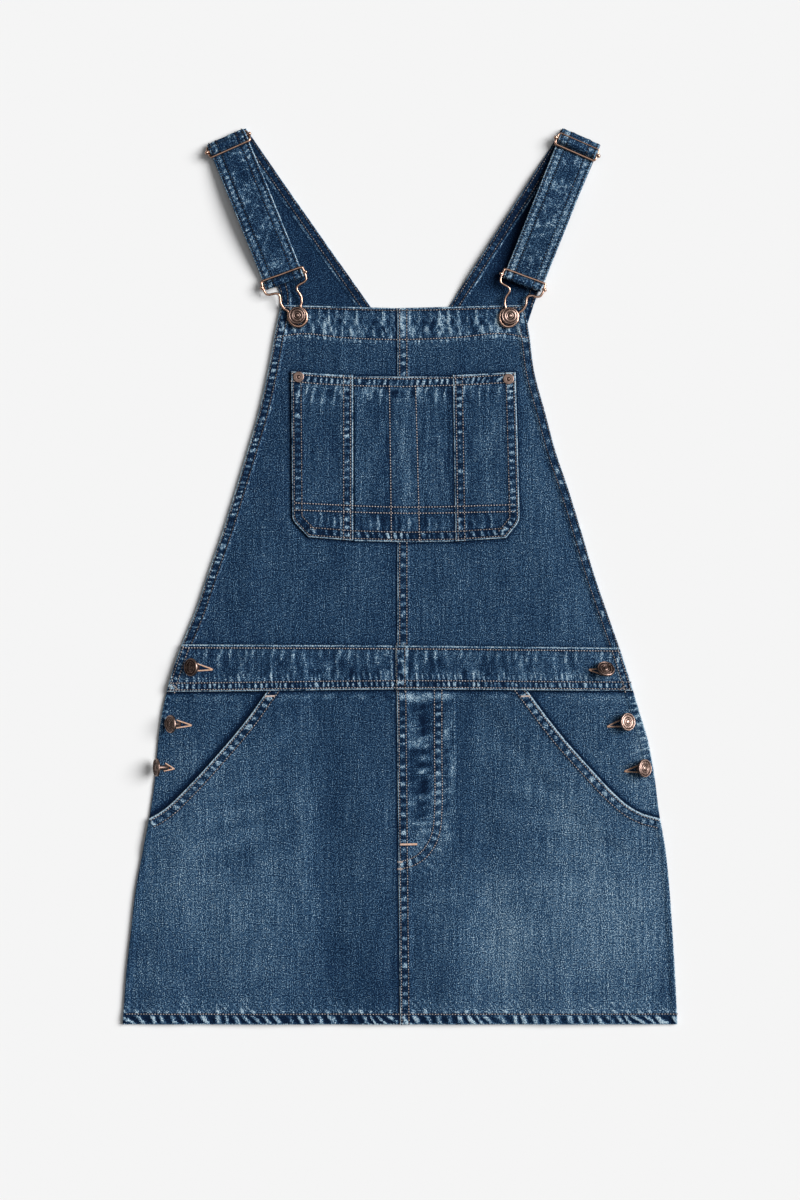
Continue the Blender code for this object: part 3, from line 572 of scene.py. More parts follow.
def patches_at(x, y):
    """How much lighter or darker, and how much more worn, the patchy places are."""
    tone = np.zeros(len(x))
    worn = np.zeros(len(x))
    for patch in PATCHES:
        strength = hump(x - patch.x, patch.half_x) * hump(y - patch.y, patch.half_y)
        blot = 1.2 * mottle(x, y, patch.across, patch.down, 6) + 0.5 * mottle(x, y, 3, 4, 7)
        tone = tone + patch.lift * strength * blot
        worn = worn + patch.lift / 60.0 * strength * np.maximum(blot - 0.45, 0.0)
    return tone, worn


Zone = namedtuple("Zone", "height thickness")
ZONES = {
    "skirt": Zone(lambda x, y: front_height(x, y) + pocket_lap(x, y), CLOTH),
    "side": Zone(front_height, CLOTH),
    "waist": Zone(lambda x, y: front_height(x, y) + pocket_lap(x, y) + CLOTH + LAYER_GAP, BAND),
    "bib": Zone(front_height, CLOTH),
    "pocket": Zone(lambda x, y: front_height(x, y) + CLOTH + LAYER_GAP, CLOTH),
    "back": Zone(back_height, CLOTH),
}


def plain_top(zone, x, y):
    """The height of a zone's top without its seams."""
    return ZONES[zone].height(x, y) + ZONES[zone].thickness


# ---------------------------------------------------------------- the seams

# A seam follows a line on the cloth of its zone. Inside the line it has rows of stitches, a band of
# double cloth with a width and a lift, a worn edge, and a ladder of pale puckers over a span, at a
# pitch and a slant. Bulk is ridges: how far inside each lies, and how worn it is; painted shade lies
# beside each. Combs are worn streaks across the seam, from one distance to another. Below are the
# zones that its edge darkens outside it, by shade: painted shade, with the darker unworn dye there.
# Thread 0 is dark and 1 is light.
Seam = namedtuple(
    "Seam",
    "zone line stitches width lift edge ladder span pitch slant bulk combs below shade thread seed",
    defaults=((), 0.0, 0.0, 0.0, 0.0, None, 8.4, 0.1, (), (), (), 0.0, 0.3, 0))
Comb = namedtuple("Comb", "start end strength pitch slant dark")


def top_edge(left_y, right_y, centre_y):
    """A top edge from right to left, a little lower or higher in the middle."""
    left, right = ((x_on(EDGE_LINE[side], y), y) for side, y in (("left", left_y), ("right", right_y)))
    return soft([right, (-1.0, centre_y), left])


def all_seams():
    """The seams in a fixed order, which gives each its own seed."""
    pocket_left, pocket_right = (cornered(POCKET_SIDES[side], POCKET_CORNER) for side in SIDES)
    pocket_foot = [tuple(pocket_left[-1]), (-43.1, 32.6), (5.2, 31.2), (50.9, 31.9), tuple(pocket_right[0])]
    pocket_top = [(106.3, 187.6), (76.0, 185.6), (48.5, 184.4), (4.0, 183.2), (-43.0, 184.0), (-76.0, 185.8),
                  (-100.2, 188.3)]
    fly = soft([(0.0, -269.4), (9.8, -267.3), (22.4, -260.3), (32.3, -247.6), (37.3, -232.0), (38.4, -218.0),
                (38.4, -160.0), (38.4, -96.0)])
    band_stitch = soft([(118.0, 219.0), (101.0, 222.6), (50.0, 219.4), (0.0, 217.6), (-50.0, 219.2),
                        (-97.0, 222.6), (-114.0, 219.5)])
    bib_left, bib_right = edge_pair((BIB_TOP_Y, BIB_TOP_Y), (BIB_FOOT_Y, BIB_FOOT_Y))
    waist_left, waist_right = edge_pair(WAIST_EDGE_Y, WAIST_FOOT_Y)
    side_left, side_right = edge_pair((SKIRT_TOP_Y, SKIRT_TOP_Y), (-150.0, -185.0))
    low_left, low_right = edge_pair((POCKET_END_Y, POCKET_END_Y), (HEM_Y, HEM_Y))
    waist_foot = soft([waist_left[-1], (-1.0, WAIST_FOOT_Y[2]), waist_right[0]])

    hem = [(OUTLINE[-1].left, HEM_Y), (OUTLINE[-1].right, HEM_Y)]
    seams = [Seam("skirt", hem, (9.6,), 10.4, 0.9, 0.6, 1.9, (0.3, 8.8), 9.8, 0.7, thread=0.7,
                  combs=[Comb(10.2, 13.6, 1.9, 9.8, -0.2, 0.0), Comb(11.0, 24.0, 0.65, 5.0, 0.9, 0.0)])]
    seams += [Seam("skirt", line, (2.2, 8.9), 10.2, 0.8, 2.0, 1.4, pitch=8.2, slant=0.2, below=("side",),
                   shade=shade, thread=0.6)
              for line, shade in ((POCKET_LINE["left"], 1.7), (POCKET_LINE["right"][::-1], 1.2))]
    seams += [Seam("skirt", line, width=5.0, lift=0.9, edge=edge)
              for line, edge in ((low_left, 0.1), (low_right, 0.6))]
    seams += [
        Seam("skirt", LAP["skirt"], (1.7, 8.3), 9.8, 0.7, 1.0, 1.35, pitch=8.8,
             bulk=((-3.0, 0.3), (10.6, 0.35)), below=("skirt",), shade=0.95, thread=0.6),
        Seam("skirt", fly, (0.0, 6.8), ladder=1.35, pitch=9.0, thread=0.75,
             combs=[Comb(-0.5, -12.0, 0.45, 8.0, 0.3, 0.0), Comb(6.8, 22.0, 0.55, 9.0, 0.3, 0.0)]),
        Seam("skirt", [(50.2, -112.0), (50.6, -218.0)], bulk=((0.0, 0.5),)),
        # the side panels
        Seam("side", side_left, (), 5.0, 0.7, 0.5, 0.7, (0.5, 5.0), 6.4),
        Seam("side", side_right, (), 8.0, 0.9, 1.0, 1.4, (0.5, 7.0), 6.4),
        # the waistband
        Seam("waist", top_edge(*WAIST_EDGE_Y), (3.1,), 4.2, 0.3, 0.75, bulk=((1.3, 0.35),), below=("bib",),
             shade=0.35, thread=0.85,
             combs=[Comb(3.4, 14.0, 0.95, 8.6, 0.1, 5.0), Comb(8.0, 36.0, 0.45, 10.0, 0.06, 5.0)]),
        Seam("waist", waist_foot, (1.7, 8.0), 9.4, 0.5, 1.1, 1.5, pitch=4.8, slant=0.05,
             combs=[Comb(8.4, 16.0, 1.0, 4.8, 0.1, 6.0)], below=("skirt", "side"), shade=1.0, thread=0.75),
        Seam("waist", waist_left, (2.0, 7.5), 8.5, 0.6, 0.5, 1.0, pitch=5.5, slant=0.4, thread=0.6),
        Seam("waist", waist_right, (2.0, 7.5), 8.5, 0.6, 1.0, 1.3, pitch=5.5, slant=0.4, thread=0.6),
        Seam("waist", LAP["waist"], (1.3, 8.7), 10.9, 0.5, 1.1, 1.3, pitch=9.5, bulk=((-3.2, 0.6), (10.6, 0.7)),
             below=("waist",), shade=0.85),
        # the bib
        Seam("bib", top_edge(BIB_TOP_Y, BIB_TOP_Y, BIB_CENTRE_Y), (2.2,), 4.0, 0.3, 0.85,
             combs=[Comb(2.6, 15.0, 1.3, 8.6, 0.15, 11.0), Comb(7.0, 27.0, 0.75, 8.6, 0.62, 4.0),
                    Comb(8.0, 28.0, 0.7, 8.6, -0.62, 3.0)], thread=0.5),
        Seam("bib", band_stitch, (0.0,), thread=0.8,
             combs=[Comb(-1.0, -11.0, 1.1, 9.0, 0.1, 4.0), Comb(0.8, 3.8, 1.5, 4.2, 0.2, 0.0)]),
        Seam("bib", bib_left, (1.5, 8.0), 9.5, 1.3, 1.1, 1.2, pitch=5.6, slant=0.4, bulk=((9.5, 0.45),),
             thread=0.25),
        Seam("bib", bib_right, (1.3, 7.4), 8.9, 1.3, 0.6, 0.8, pitch=14.0, slant=0.2, bulk=((8.9, 0.45),),
             thread=0.3),
        Seam("bib", LAP["bib"], (2.2, 8.8), 10.6, 0.7, 1.05, 1.05, pitch=8.8, bulk=((-3.0, 0.3), (11.0, 0.35)),
             below=("bib",), shade=0.9, thread=0.6),
        # the bib pocket
        Seam("pocket", pocket_left, (2.0, 9.0), 10.4, 0.6, 0.95, 1.0, pitch=7.0, below=("bib",), shade=0.8,
             thread=0.5),
        Seam("pocket", pocket_foot, (2.0, 9.0), 10.4, 0.6, 1.0, 1.25, pitch=6.2, slant=0.2,
             combs=[Comb(9.6, 26.0, 0.8, 6.5, 0.1, 4.0)], below=("bib",), shade=0.8, thread=0.6),
        Seam("pocket", pocket_right, (2.0, 9.0), 10.4, 0.6, 1.0, 1.05, pitch=7.0, below=("bib",), shade=0.7,
             thread=0.5),
        Seam("pocket", pocket_top, (2.0, 9.0), 10.4, 0.5, 1.0, 1.35, pitch=5.2, slant=-0.35,
             combs=[Comb(9.6, 26.0, 1.0, 8.2, -0.1, 4.0)], below=("bib",), shade=0.6, thread=0.8),
    ]
    seams += [Seam("pocket", POCKET_FOLD[side], (2.5, row), 10.0, 0.5, 0.95, 1.1, pitch=7.4,
                   bulk=((-2.6, 0.25), (ridge, 0.4)), below=("pocket",), shade=0.85, thread=0.6)
              for side, row, ridge in (("left", 8.8, 11.5), ("right", 8.7, 10.8))]
    seams += [Seam("pocket", line, (0.0,), thread=light) for line, light in (
        ([(-9.8, 176.0), (-7.9, 31.5)], 0.95), ([(14.3, 176.0), (18.0, 31.5)], 0.95),
        (soft([(-97.0, 67.2), (0.0, 63.4), (106.0, 65.6)]), 1.0),
        (soft([(-97.0, 60.7), (0.0, 57.8), (106.0, 59.4)]), 1.0))]
    for side in SIDES:
        outer, inner = bib_half(side)
        down, up = (outer, inner[::-1]) if side == "left" else (inner, outer[::-1])
        seams += [Seam("back", line, (1.8, 7.2), 9.2, 0.7, 0.5, 0.5, pitch=5.2, bulk=((9.6, 0.8),), thread=0.3)
                  for line in (down, up)]
    return [seam._replace(line=Line(seam.line), seed=10 + 7 * index) for index, seam in enumerate(seams)]


SEAMS = all_seams()
SEAM_REACH = 30.0         # how far from its line a seam is felt
DARKEST_SHADE = 0.93
DARKEST_TONE = 9.0


def sewn(seam, length, inside, along):
    """A seam's relief, wear, and dye with painted shade, at distances inside its line and along it."""
    ends = smooth((np.minimum(along, length - along) + 2.0) / 3.0)
    own = smooth(inside / 0.5 + 1.0) if seam.edge else np.ones(len(inside))
    beat = along + seam.slant * inside * (1.0 + wander(along, 30.0, seam.seed))
    beat = beat + 2.2 * wander(along, 9.0, seam.seed)
    blob = 0.5 + 0.5 * np.cos(2.0 * math.pi * beat / seam.pitch)
    lively = 0.78 + 0.3 * wander(along, 11.0, seam.seed + 1) + 0.2 * wander(along, 5.5, seam.seed + 8)

    rows = seam.stitches or (0.0,)
    low, high = seam.span or ((rows[0], rows[-1]) if len(rows) > 1 else (-2.5, 2.5))
    between = smooth((inside - low - 0.3) / 1.2) * smooth((high - 0.3 - inside) / 1.2)
    beyond = np.maximum(np.maximum(low - inside, inside - high), 0.0)
    banded = smooth((seam.width - inside) / 1.6 + 0.5)

    relief = seam.lift * smooth(inside / 0.5 + 0.5) * banded
    ragged = 0.72 + 0.32 * wander(along, 9.0, seam.seed + 2) + 0.25 * wander(along, 2.6, seam.seed + 11)
    wear = 1.5 * seam.edge * hump(inside - 0.3, 0.7 + 0.35 * max(seam.edge - 1.0, 0.0)) * ragged
    dye_and_shade = -7.0 * banded
    if seam.ladder:
        speck = 0.35 * mottle(along, inside, 1.8, 2.2, seam.seed + 6)
        pale = np.clip((blob - 0.45 + speck) / 0.5, 0.0, 1.0) * lively
        spread = np.maximum(between, 0.45 * hump(beyond, 4.5))
        relief = relief + 0.5 * seam.ladder * lively * (blob - 0.5) * spread
        wear = wear + 0.7 * seam.ladder * pale ** 1.5 * np.maximum(between, 0.2 * hump(beyond, 2.6))
        dye_and_shade = dye_and_shade + seam.ladder * (30.0 * pale * np.maximum(between, 0.5 * hump(beyond, 3.0))
                                   - 24.0 * (1.0 - blob) * between)
    for comb in seam.combs:
        reach = abs(comb.end - comb.start)
        share = (inside - comb.start) / (comb.end - comb.start)
        lean = along + comb.slant * inside + 3.0 * wander(along, 14.0, seam.seed + 3)
        lean = lean + 1.1 * wander(inside, 5.0, seam.seed + 4)
        strands = 0.5 + 0.5 * np.cos(2.0 * math.pi * lean / comb.pitch)
        halo = strands ** (comb.pitch / 2.8)
        rough = 0.4 * mottle(along, inside, 2.0, 6.0, seam.seed + 5)
        strands = np.clip((halo - 0.45 + rough) / 0.5, 0.0, 1.0)
        ragged = share + 0.4 * wander(along, 0.45 * comb.pitch, seam.seed + 7)
        started = smooth(share * reach / 1.2 + 0.5)
        faded = started * smooth((1.15 - ragged) / 0.6) * (share < 1.4)
        uneven = 0.75 + 0.4 * wander(along, comb.pitch, seam.seed + 9)
        wear = wear + 0.6 * comb.strength * strands * faded * uneven
        relief = relief + 0.3 * comb.strength * strands * faded
        dye_and_shade = dye_and_shade - comb.dark * started * smooth((1.1 - share) / 0.3)
        dye_and_shade = dye_and_shade + 46.0 * comb.strength * halo * faded * uneven
    # Along each stitch row the cloth sinks, is kept from wear, and is darkened with painted shade in the stitch holes.
    sunk_and_shaded = 1.0 if seam.thread > 0.2 else 0.7
    for row in seam.stitches:
        relief = relief - 0.30 * hump(inside - row, 0.7) * (0.8 + 0.2 * blob)
        dye_and_shade = dye_and_shade * (1.0 - 0.9 * sunk_and_shaded * hump(inside - row, 0.9)) - 40.0 * sunk_and_shaded * hump(inside - row, 1.0)
        wear = wear * (1.0 - 0.9 * sunk_and_shaded * hump(inside - row, 0.7))
    relief, wear, dye_and_shade = relief * own, wear * own, dye_and_shade * own
    for place, strength in seam.bulk:
        relief = relief + 0.35 * hump(inside - place, 1.0)
        rubbed = 0.75 + 0.35 * wander(along, 6.0, seam.seed + 5)
        wear = wear + strength * hump(inside - place, 0.9) * rubbed
        # painted shade beside the ridge
        dye_and_shade = dye_and_shade - 22.0 * strength * hump(inside - place - math.copysign(1.7, place), 0.9)
    return relief * ends, wear * ends, dye_and_shade * ends


def under_strap(x, y):
    """How much light reaches the back beside the right strap, which lies high over it."""
    low, high = BUCKLE["right"], SLIDER["right"]
    edge = lerp(low.x, high.x, (y - low.y) / (high.y - low.y)) - STRAP_WIDTH / 2 - 1.5
    return 1.0 - 0.85 * smooth((y - 256.0) / 18.0) * hump(np.maximum(edge - x, 0.0), 15.0) * (x > 20.0)


def surface(zone, x, y):
    """The height of a zone's top, its tone and its wear, at points on it."""
    height = plain_top(zone, x, y)
    patched, wear = patches_at(x, y)
    tone = tone_at(x, y) + patched
    if zone == "back":
        tone = (tone - 11.0) * under_strap(x, y)
    for seam in SEAMS:
        if zone != seam.zone and zone not in seam.below:
            continue
        near, inside, along = seam.line.follow(x, y, SEAM_REACH)
        # Outside a seam's edge, on the zones below it: painted shade, with the darker unworn dye there, over tone and
        # wear.
        if zone in seam.below:
            outside = (inside < 0.0) & (along > -1.0) & (along < seam.line.length + 1.0)
            faint = np.exp(-np.abs(inside) / (1.2 * max(seam.shade, 1.0)))
            shade = seam.shade * np.minimum(2.0 * faint, 1.0)
            shade = shade + 0.12 * np.exp(-np.abs(inside) / 7.0)
            lit = 1.0 - outside * np.minimum(shade, DARKEST_SHADE)
            tone[near] *= lit
            wear[near] *= lit
        if seam.zone == zone:
            relief, worn, dye_and_shade = sewn(seam, seam.line.length, inside, along)
            height[near] += relief
            wear[near] += worn
            tone[near] += dye_and_shade
    return height, np.maximum(tone, DARKEST_TONE), np.clip(wear, 0.0, 1.3)


# ---------------------------------------------------------------- materials

def linear(channel):
    """One sRGB channel, 0 to 1, as linear light."""
    return channel / 12.92 if channel <= 0.04045 else ((channel + 0.055) / 1.055) ** 2.4


def colour(text):
    return tuple(linear(int(text[start:start + 2], 16) / 255) for start in (1, 3, 5)) + (1.0,)


class Nodes:
    """The shader nodes of a material or a world."""

    def __init__(self, owner, last="Principled BSDF"):
        owner.use_nodes = True
        self.owner = owner
        self.tree = owner.node_tree
        self.last = self.tree.nodes[last]

    def add(self, kind, output=0, **values):
        """Adds a node with its settings and links, and gives back one of its outputs."""
        return self.fill(self.tree.nodes.new("ShaderNode" + kind), values).outputs[output]

    def fill(self, node, values):
        """A value named in small letters is a setting. Any other is for an input, given by its name or
        by i and its number, and an output as the value is linked to it."""
        for key, value in values.items():
            numbered = key[1:].isdigit()
            if key.islower() and not numbered:
                setattr(node, key, value)
                continue
            socket = node.inputs[int(key[1:]) if numbered else key.replace("_", " ")]
            if isinstance(value, bpy.types.NodeSocket):
                self.tree.links.new(value, socket)
            else:
                socket.default_value = value
        return node

    def finish(self, **inputs):
        """Fills in the last node and gives back the material or the world."""
        self.fill(self.last, inputs)
        return self.owner


# The denim from its darkest dye and painted shade to its palest wear; the number is the tone, 0 to 255.
DENIM_COLOURS = [
    (20, "#06162c"), (40, "#132c48"), (60, "#24405e"), (80, "#355573"), (100, "#496884"), (120, "#5e7d96"),
    (150, "#7d9bb0"), (200, "#b7cbd6"),
]

# Patches so many millimetres across and down, and how many finer levels they have. Real denim has
# about two yarns in each millimetre, too fine to show, so the flecks and yarns are drawn 1 mm wide.
Patches = namedtuple("Patches", "across down detail")
DENIM_PATCHES = {
    "fleck": Patches(0.88, 1.05, 1.0),
    "yarn": Patches(1.0, 5.0, 0.0),
    "slub": Patches(1.4, 45.0, 0.0),
    "weft": Patches(7.0, 1.1, 0.0),
    "cloud": Patches(16.0, 22.0, 2.0),
    "fray": Patches(1.5, 1.9, 2.0),
}


def denim(name, grain, pale):
    """Indigo denim: white weft flecks through blue warp, slubs down the cloth and frayed pale wear."""
    nodes = Nodes(bpy.data.materials.new(name))
    cloth = nodes.add("Attribute", "Vector", attribute_name="weave")
    tone = nodes.add("Attribute", "Fac", attribute_name="tone")
    wear = nodes.add("Attribute", "Fac", attribute_name="wear")
    noise = {}
    for key, patches in DENIM_PATCHES.items():
        scale = (1.0 / patches.across, 1.0 / patches.down, 1.0)
        scaled = nodes.add("Mapping", vector_type="POINT", Vector=cloth, Scale=scale)
        spots = nodes.add("TexNoise", noise_dimensions="2D", Vector=scaled, Scale=1.0, Detail=patches.detail)
        noise[key] = nodes.add("Math", operation="SUBTRACT", i0=spots, i1=0.5)

    weave = nodes.add("Math", operation="MULTIPLY_ADD", i0=noise["fleck"], i1=grain, i2=-0.14)
    for key, strength in (("yarn", 0.45), ("slub", 0.62), ("weft", 0.4), ("cloud", 0.25)):
        weave = nodes.add("Math", operation="MULTIPLY_ADD", i0=noise[key], i1=strength, i2=weave)
    weave = nodes.add("Math", operation="EXPONENT", i0=weave)

    frayed = nodes.add("Math", operation="MULTIPLY_ADD", i0=noise["fray"], i1=1.1, i2=wear)
    frayed = nodes.add("MapRange", interpolation_type="SMOOTHSTEP", Value=frayed, From_Min=0.0, From_Max=1.0)
    worn = nodes.add("Math", operation="MULTIPLY", i0=wear, i1=4.0)
    worn = nodes.add("Math", operation="MINIMUM", i0=worn, i1=1.0)
    frayed = nodes.add("Math", operation="MULTIPLY", i0=frayed, i1=worn)
    palest = nodes.add("Math", operation="MULTIPLY_ADD", i0=wear, i1=0.36 * pale, i2=0.82 * pale)
    lightness = nodes.add("Mix", data_type="FLOAT", Factor=frayed, A=tone, B=palest)
    lightness = nodes.add("Math", operation="MULTIPLY", i0=lightness, i1=weave)
    lightness = nodes.add("Math", operation="MULTIPLY_ADD", i0=noise["fleck"], i1=0.48, i2=lightness)

    tint = nodes.add("ValToRGB", Fac=lightness)
    stops = tint.node.color_ramp.elements
    while len(stops) < len(DENIM_COLOURS):
        stops.new(0.5)
    for stop, (level, _) in zip(stops, DENIM_COLOURS):
        stop.position = level / 255
    for stop, (_, text) in zip(stops, DENIM_COLOURS):
        stop.color = colour(text)

    twill = nodes.add("TexWave", "Fac", wave_type="BANDS", bands_direction="DIAGONAL", Vector=cloth,
                      Scale=0.28, Distortion=1.5, Detail=1.0)
    ribs = nodes.add("Math", operation="ADD", i0=noise["fleck"], i1=noise["yarn"])
    ribs = nodes.add("Math", operation="MULTIPLY_ADD", i0=twill, i1=0.12, i2=ribs)
    bump = nodes.add("Bump", Height=ribs, Strength=0.3, Distance=0.0005)
    return nodes.finish(Base_Color=tint, Normal=bump, Roughness=0.9, Specular_IOR_Level=0.06)


def metal(name, light, dark, roughness):
    """Plated wire and buttons: pale where clean, tarnished in the hollows and in patches; the same darkness also
    paints shade on upright sides and light on what faces up.
    """
    nodes = Nodes(bpy.data.materials.new(name))
    place = nodes.add("TexCoord", "Object")
    grime = nodes.add("Attribute", "Fac", attribute_name="grime")
    patches = nodes.add("TexNoise", Vector=place, Scale=420.0, Detail=3.0)       # of about 2.4 mm
    scratches = nodes.add("TexNoise", Vector=place, Scale=2600.0, Detail=2.0)    # of about 0.4 mm
    patches = nodes.add("Math", operation="SUBTRACT", i0=patches, i1=0.5)
    share = nodes.add("Math", operation="MULTIPLY_ADD", i0=patches, i1=1.1, i2=grime)
    bare = nodes.add("Math", operation="MULTIPLY", i0=share, i1=-1.6)
    share = nodes.add("Clamp", Value=share)
    clean = nodes.add("Mix", 2, data_type="RGBA", i0=bare, i6=colour(light), i7=colour("#f1ddd4"))
    tint = nodes.add("Mix", 2, data_type="RGBA", i0=share, i6=clean, i7=colour(dark))
    dullness = nodes.add("Math", operation="MULTIPLY_ADD", i0=share, i1=0.18, i2=roughness)
    bump = nodes.add("Bump", Height=scratches, Strength=0.25, Distance=0.0001)
    return nodes.finish(Base_Color=tint, Metallic=1.0, Roughness=dullness, Normal=bump)


def thread():
    """Cotton topstitching, brown to copper, each stitch a little different; its near-black end also paints the shade
    in the holes between stitches.
    """
    nodes = Nodes(bpy.data.materials.new("thread"))
    shade = nodes.add("Attribute", "Fac", attribute_name="shade")
    place = nodes.add("TexCoord", "Object")
    fibres = nodes.add("TexNoise", Vector=place, Scale=2200.0, Detail=1.0)       # of about 0.45 mm
    share = nodes.add("Math", operation="SUBTRACT", i0=fibres, i1=0.5)
    share = nodes.add("Math", operation="MULTIPLY_ADD", i0=share, i1=0.5, i2=shade)
    tint = nodes.add("Mix", 2, data_type="RGBA", i0=share, i6=colour("#12151c"), i7=colour("#cfc7c5"))
    copper = nodes.add("Math", operation="SUBTRACT", i0=shade, i1=1.2)
    tint = nodes.add("Mix", 2, data_type="RGBA", i0=copper, i6=tint, i7=colour("#e6bb9e"))
    bump = nodes.add("Bump", Height=fibres, Strength=0.3, Distance=0.0001)
    return nodes.finish(Base_Color=tint, Normal=bump, Roughness=0.75, Specular_IOR_Level=0.25)


def floor_paint():
    """Matt paint of a light grey."""
    nodes = Nodes(bpy.data.materials.new("floor"))
    return nodes.finish(Base_Color=(0.9, 0.9, 0.9, 1.0), Roughness=1.0, Specular_IOR_Level=0.0)


MATERIALS = {
    "denim": denim("denim", 2.9, 0.64),
    "denim_inside": denim("denim_inside", 2.0, 0.6),
    "rose_wire": metal("rose_wire", "#dcb29c", "#4a2f22", 0.24),
    "aged_copper": metal("aged_copper", "#b89c90", "#2a1d1b", 0.33),
    "thread": thread(),
}

# ---------------------------------------------------------------- making pieces

def finish_piece(piece, slot, node=None):
    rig.slot(piece, slot)
    if node:
        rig.replaces(piece, node)
    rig.ride(piece, "root")
    return piece


def new_object(name, data):
    piece = bpy.data.objects.new(name, data)
    bpy.context.scene.collection.objects.link(piece)
    return piece


def new_piece(name, points, faces, material, attributes):
    """A smooth mesh object from points in millimetres, with values at its points."""
    mesh = bpy.data.meshes.new(name)
    mesh.from_pydata((points * MM).tolist(), [], faces)
    for key, values in attributes.items():
        kind, field = ("FLOAT_VECTOR", "vector") if values.ndim == 2 else ("FLOAT", "value")
        mesh.attributes.new(key, kind, "POINT").data.foreach_set(field, values.ravel())
    mesh.shade_smooth()
    mesh.materials.append(MATERIALS[material])
    return new_object(name, mesh)


def grid_faces(first, rows, columns, upward):
    index = first + np.arange(rows * columns).reshape(rows, columns)
    corners = [index[:-1, :-1], index[1:, :-1], index[1:, 1:], index[:-1, 1:]]
    faces = np.stack(corners if upward else corners[::-1], axis=-1)
    return faces.reshape(-1, 4).tolist()


UNDER_STRIDE = 3
UNDER_INSET = 2       # the underside starts this many points in from the rim


def kept_of(count):
    """Which of a grid's rows or columns its underside keeps."""
    last = count - UNDER_INSET - 1
    return np.append(np.arange(UNDER_INSET, last, UNDER_STRIDE), last)


def shell(top, under):
    """A closed shell from two grids alike, the under one thinned out: points, faces, each point's source."""
    rows, columns = top.shape[:2]
    kept_rows, kept_columns = kept_of(rows), kept_of(columns)
    below = under[kept_rows][:, kept_columns]
    count = rows * columns
    faces = grid_faces(0, rows, columns, True)
    faces += grid_faces(count, len(kept_rows), len(kept_columns), False)

    near_row, near_column = (np.abs(kept[None] - np.arange(size)[:, None]).argmin(axis=1)
                             for kept, size in ((kept_rows, rows), (kept_columns, columns)))
    border = [(0, column) for column in range(columns - 1)]
    border += [(row, columns - 1) for row in range(rows - 1)]
    border += [(rows - 1, column) for column in range(columns - 1, 0, -1)]
    border += [(row, 0) for row in range(rows - 1, 0, -1)]
    for start, end in zip(border, border[1:] + border[:1]):
        foot = [count + near_row[row] * len(kept_columns) + near_column[column] for row, column in (start, end)]
        face = [start[0] * columns + start[1], end[0] * columns + end[1], foot[1], foot[0]]
        faces.append(face[:3] if foot[0] == foot[1] else face)
    points = np.vstack([top.reshape(-1, 3), below.reshape(-1, 3)])
    picked = np.arange(count).reshape(rows, columns)[kept_rows][:, kept_columns].ravel()
    return points, faces, np.append(np.arange(count), picked)


EDGE_STEPS = np.array([0.0, 0.25, 0.6, 1.1, 1.9, 2.8, 3.9, 5.2, 6.5, 7.7, 8.7, 9.8, 11.2, 12.8])
RIM_RADIUS = 1.0
FINE = 2.8 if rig.quick() else 1.3       # the grid's pitch on cloth that shows
COARSE = 6.0                            # and on cloth that doesn't


def edge_steps(pitch):
    return EDGE_STEPS if pitch < COARSE else EDGE_STEPS[[0, 2, 4]]


def across_steps(widths, lean_left, lean_right, pitch):
    """Distances from each row's left end, close together near both ends."""
    steps = edge_steps(pitch)
    room = 0.42 * widths / steps[-1]
    left = steps * np.minimum(lean_left, room)[:, None]
    right = steps * np.minimum(lean_right, room)[:, None]
    count = max(2, int((np.percentile(widths, 70) - 2 * steps[-1]) / pitch))
    share = np.linspace(0.0, 1.0, count + 1)[1:-1]
    middle = lerp(left[:, -1:], widths[:, None] - right[:, -1:], share)
    return np.hstack([left, middle, widths[:, None] - right[:, ::-1]])


def down_steps(length, pitch):
    steps = edge_steps(pitch)
    count = max(2, int((length - 2 * steps[-1]) / pitch))
    middle = np.linspace(steps[-1], length - steps[-1], count + 1)[1:-1]
    return np.concatenate([steps, middle, length - steps[::-1]])


def rim_drop(distance):
    """How much of the half thickness is left at a distance from the rim, 0 at the rim."""
    share = np.clip(1.0 - distance / RIM_RADIUS, 0.0, 1.0)
    return np.sqrt(1.0 - share ** 2)


def panel_grid(zone, left, right, top, bottom, pitch, hidden=None):
    """A panel's two grids, its tones and its wear. Left and right are its edge lines, running down;
    top and bottom are the heights of its ends, one number or (left, right). Where it is hidden, from a
    height downwards, its rows are far apart."""
    top, bottom = (np.broadcast_to(heights, 2) for heights in (top, bottom))
    length = max(top - bottom)
    down = down_steps(length, pitch)
    if hidden is not None:
        shown = down[down < max(top) - hidden]
        down = np.append(shown, np.linspace(shown[-1], length, int((length - shown[-1]) / COARSE))[1:])
    heights = [lerp(top[end], bottom[end], down / length) for end in (0, 1)]
    start, end = (np.column_stack([x_on(line, y), y]) for line, y in zip((left, right), heights))
    widths = np.linalg.norm(end - start, axis=1)
    leans = [np.clip(np.hypot(1.0, np.gradient(line[:, 0], line[:, 1])), 1.0, 2.4) for line in (start, end)]
    across = across_steps(widths, leans[0], leans[1], pitch)
    spots = lerp(start[:, None, :], end[:, None, :], (across / widths[:, None])[..., None])
    x, y = spots[..., 0].ravel(), spots[..., 1].ravel()
    height, tone, wear = surface(zone, x, y)
    rim = np.minimum(across / leans[0][:, None], (widths[:, None] - across) / leans[1][:, None])
    rim = rim_drop(np.minimum(rim, np.minimum(down, length - down)[:, None]))
    thickness = ZONES[zone].thickness
    top_grid = np.dstack([spots, height.reshape(across.shape) - 0.5 * thickness * (1.0 - rim)])
    under_grid = np.dstack([spots, ZONES[zone].height(x, y).reshape(across.shape)])
    return top_grid, under_grid, tone, wear


CUTS = []       # each sheet of cloth: its piece, width, length, area and how it is held


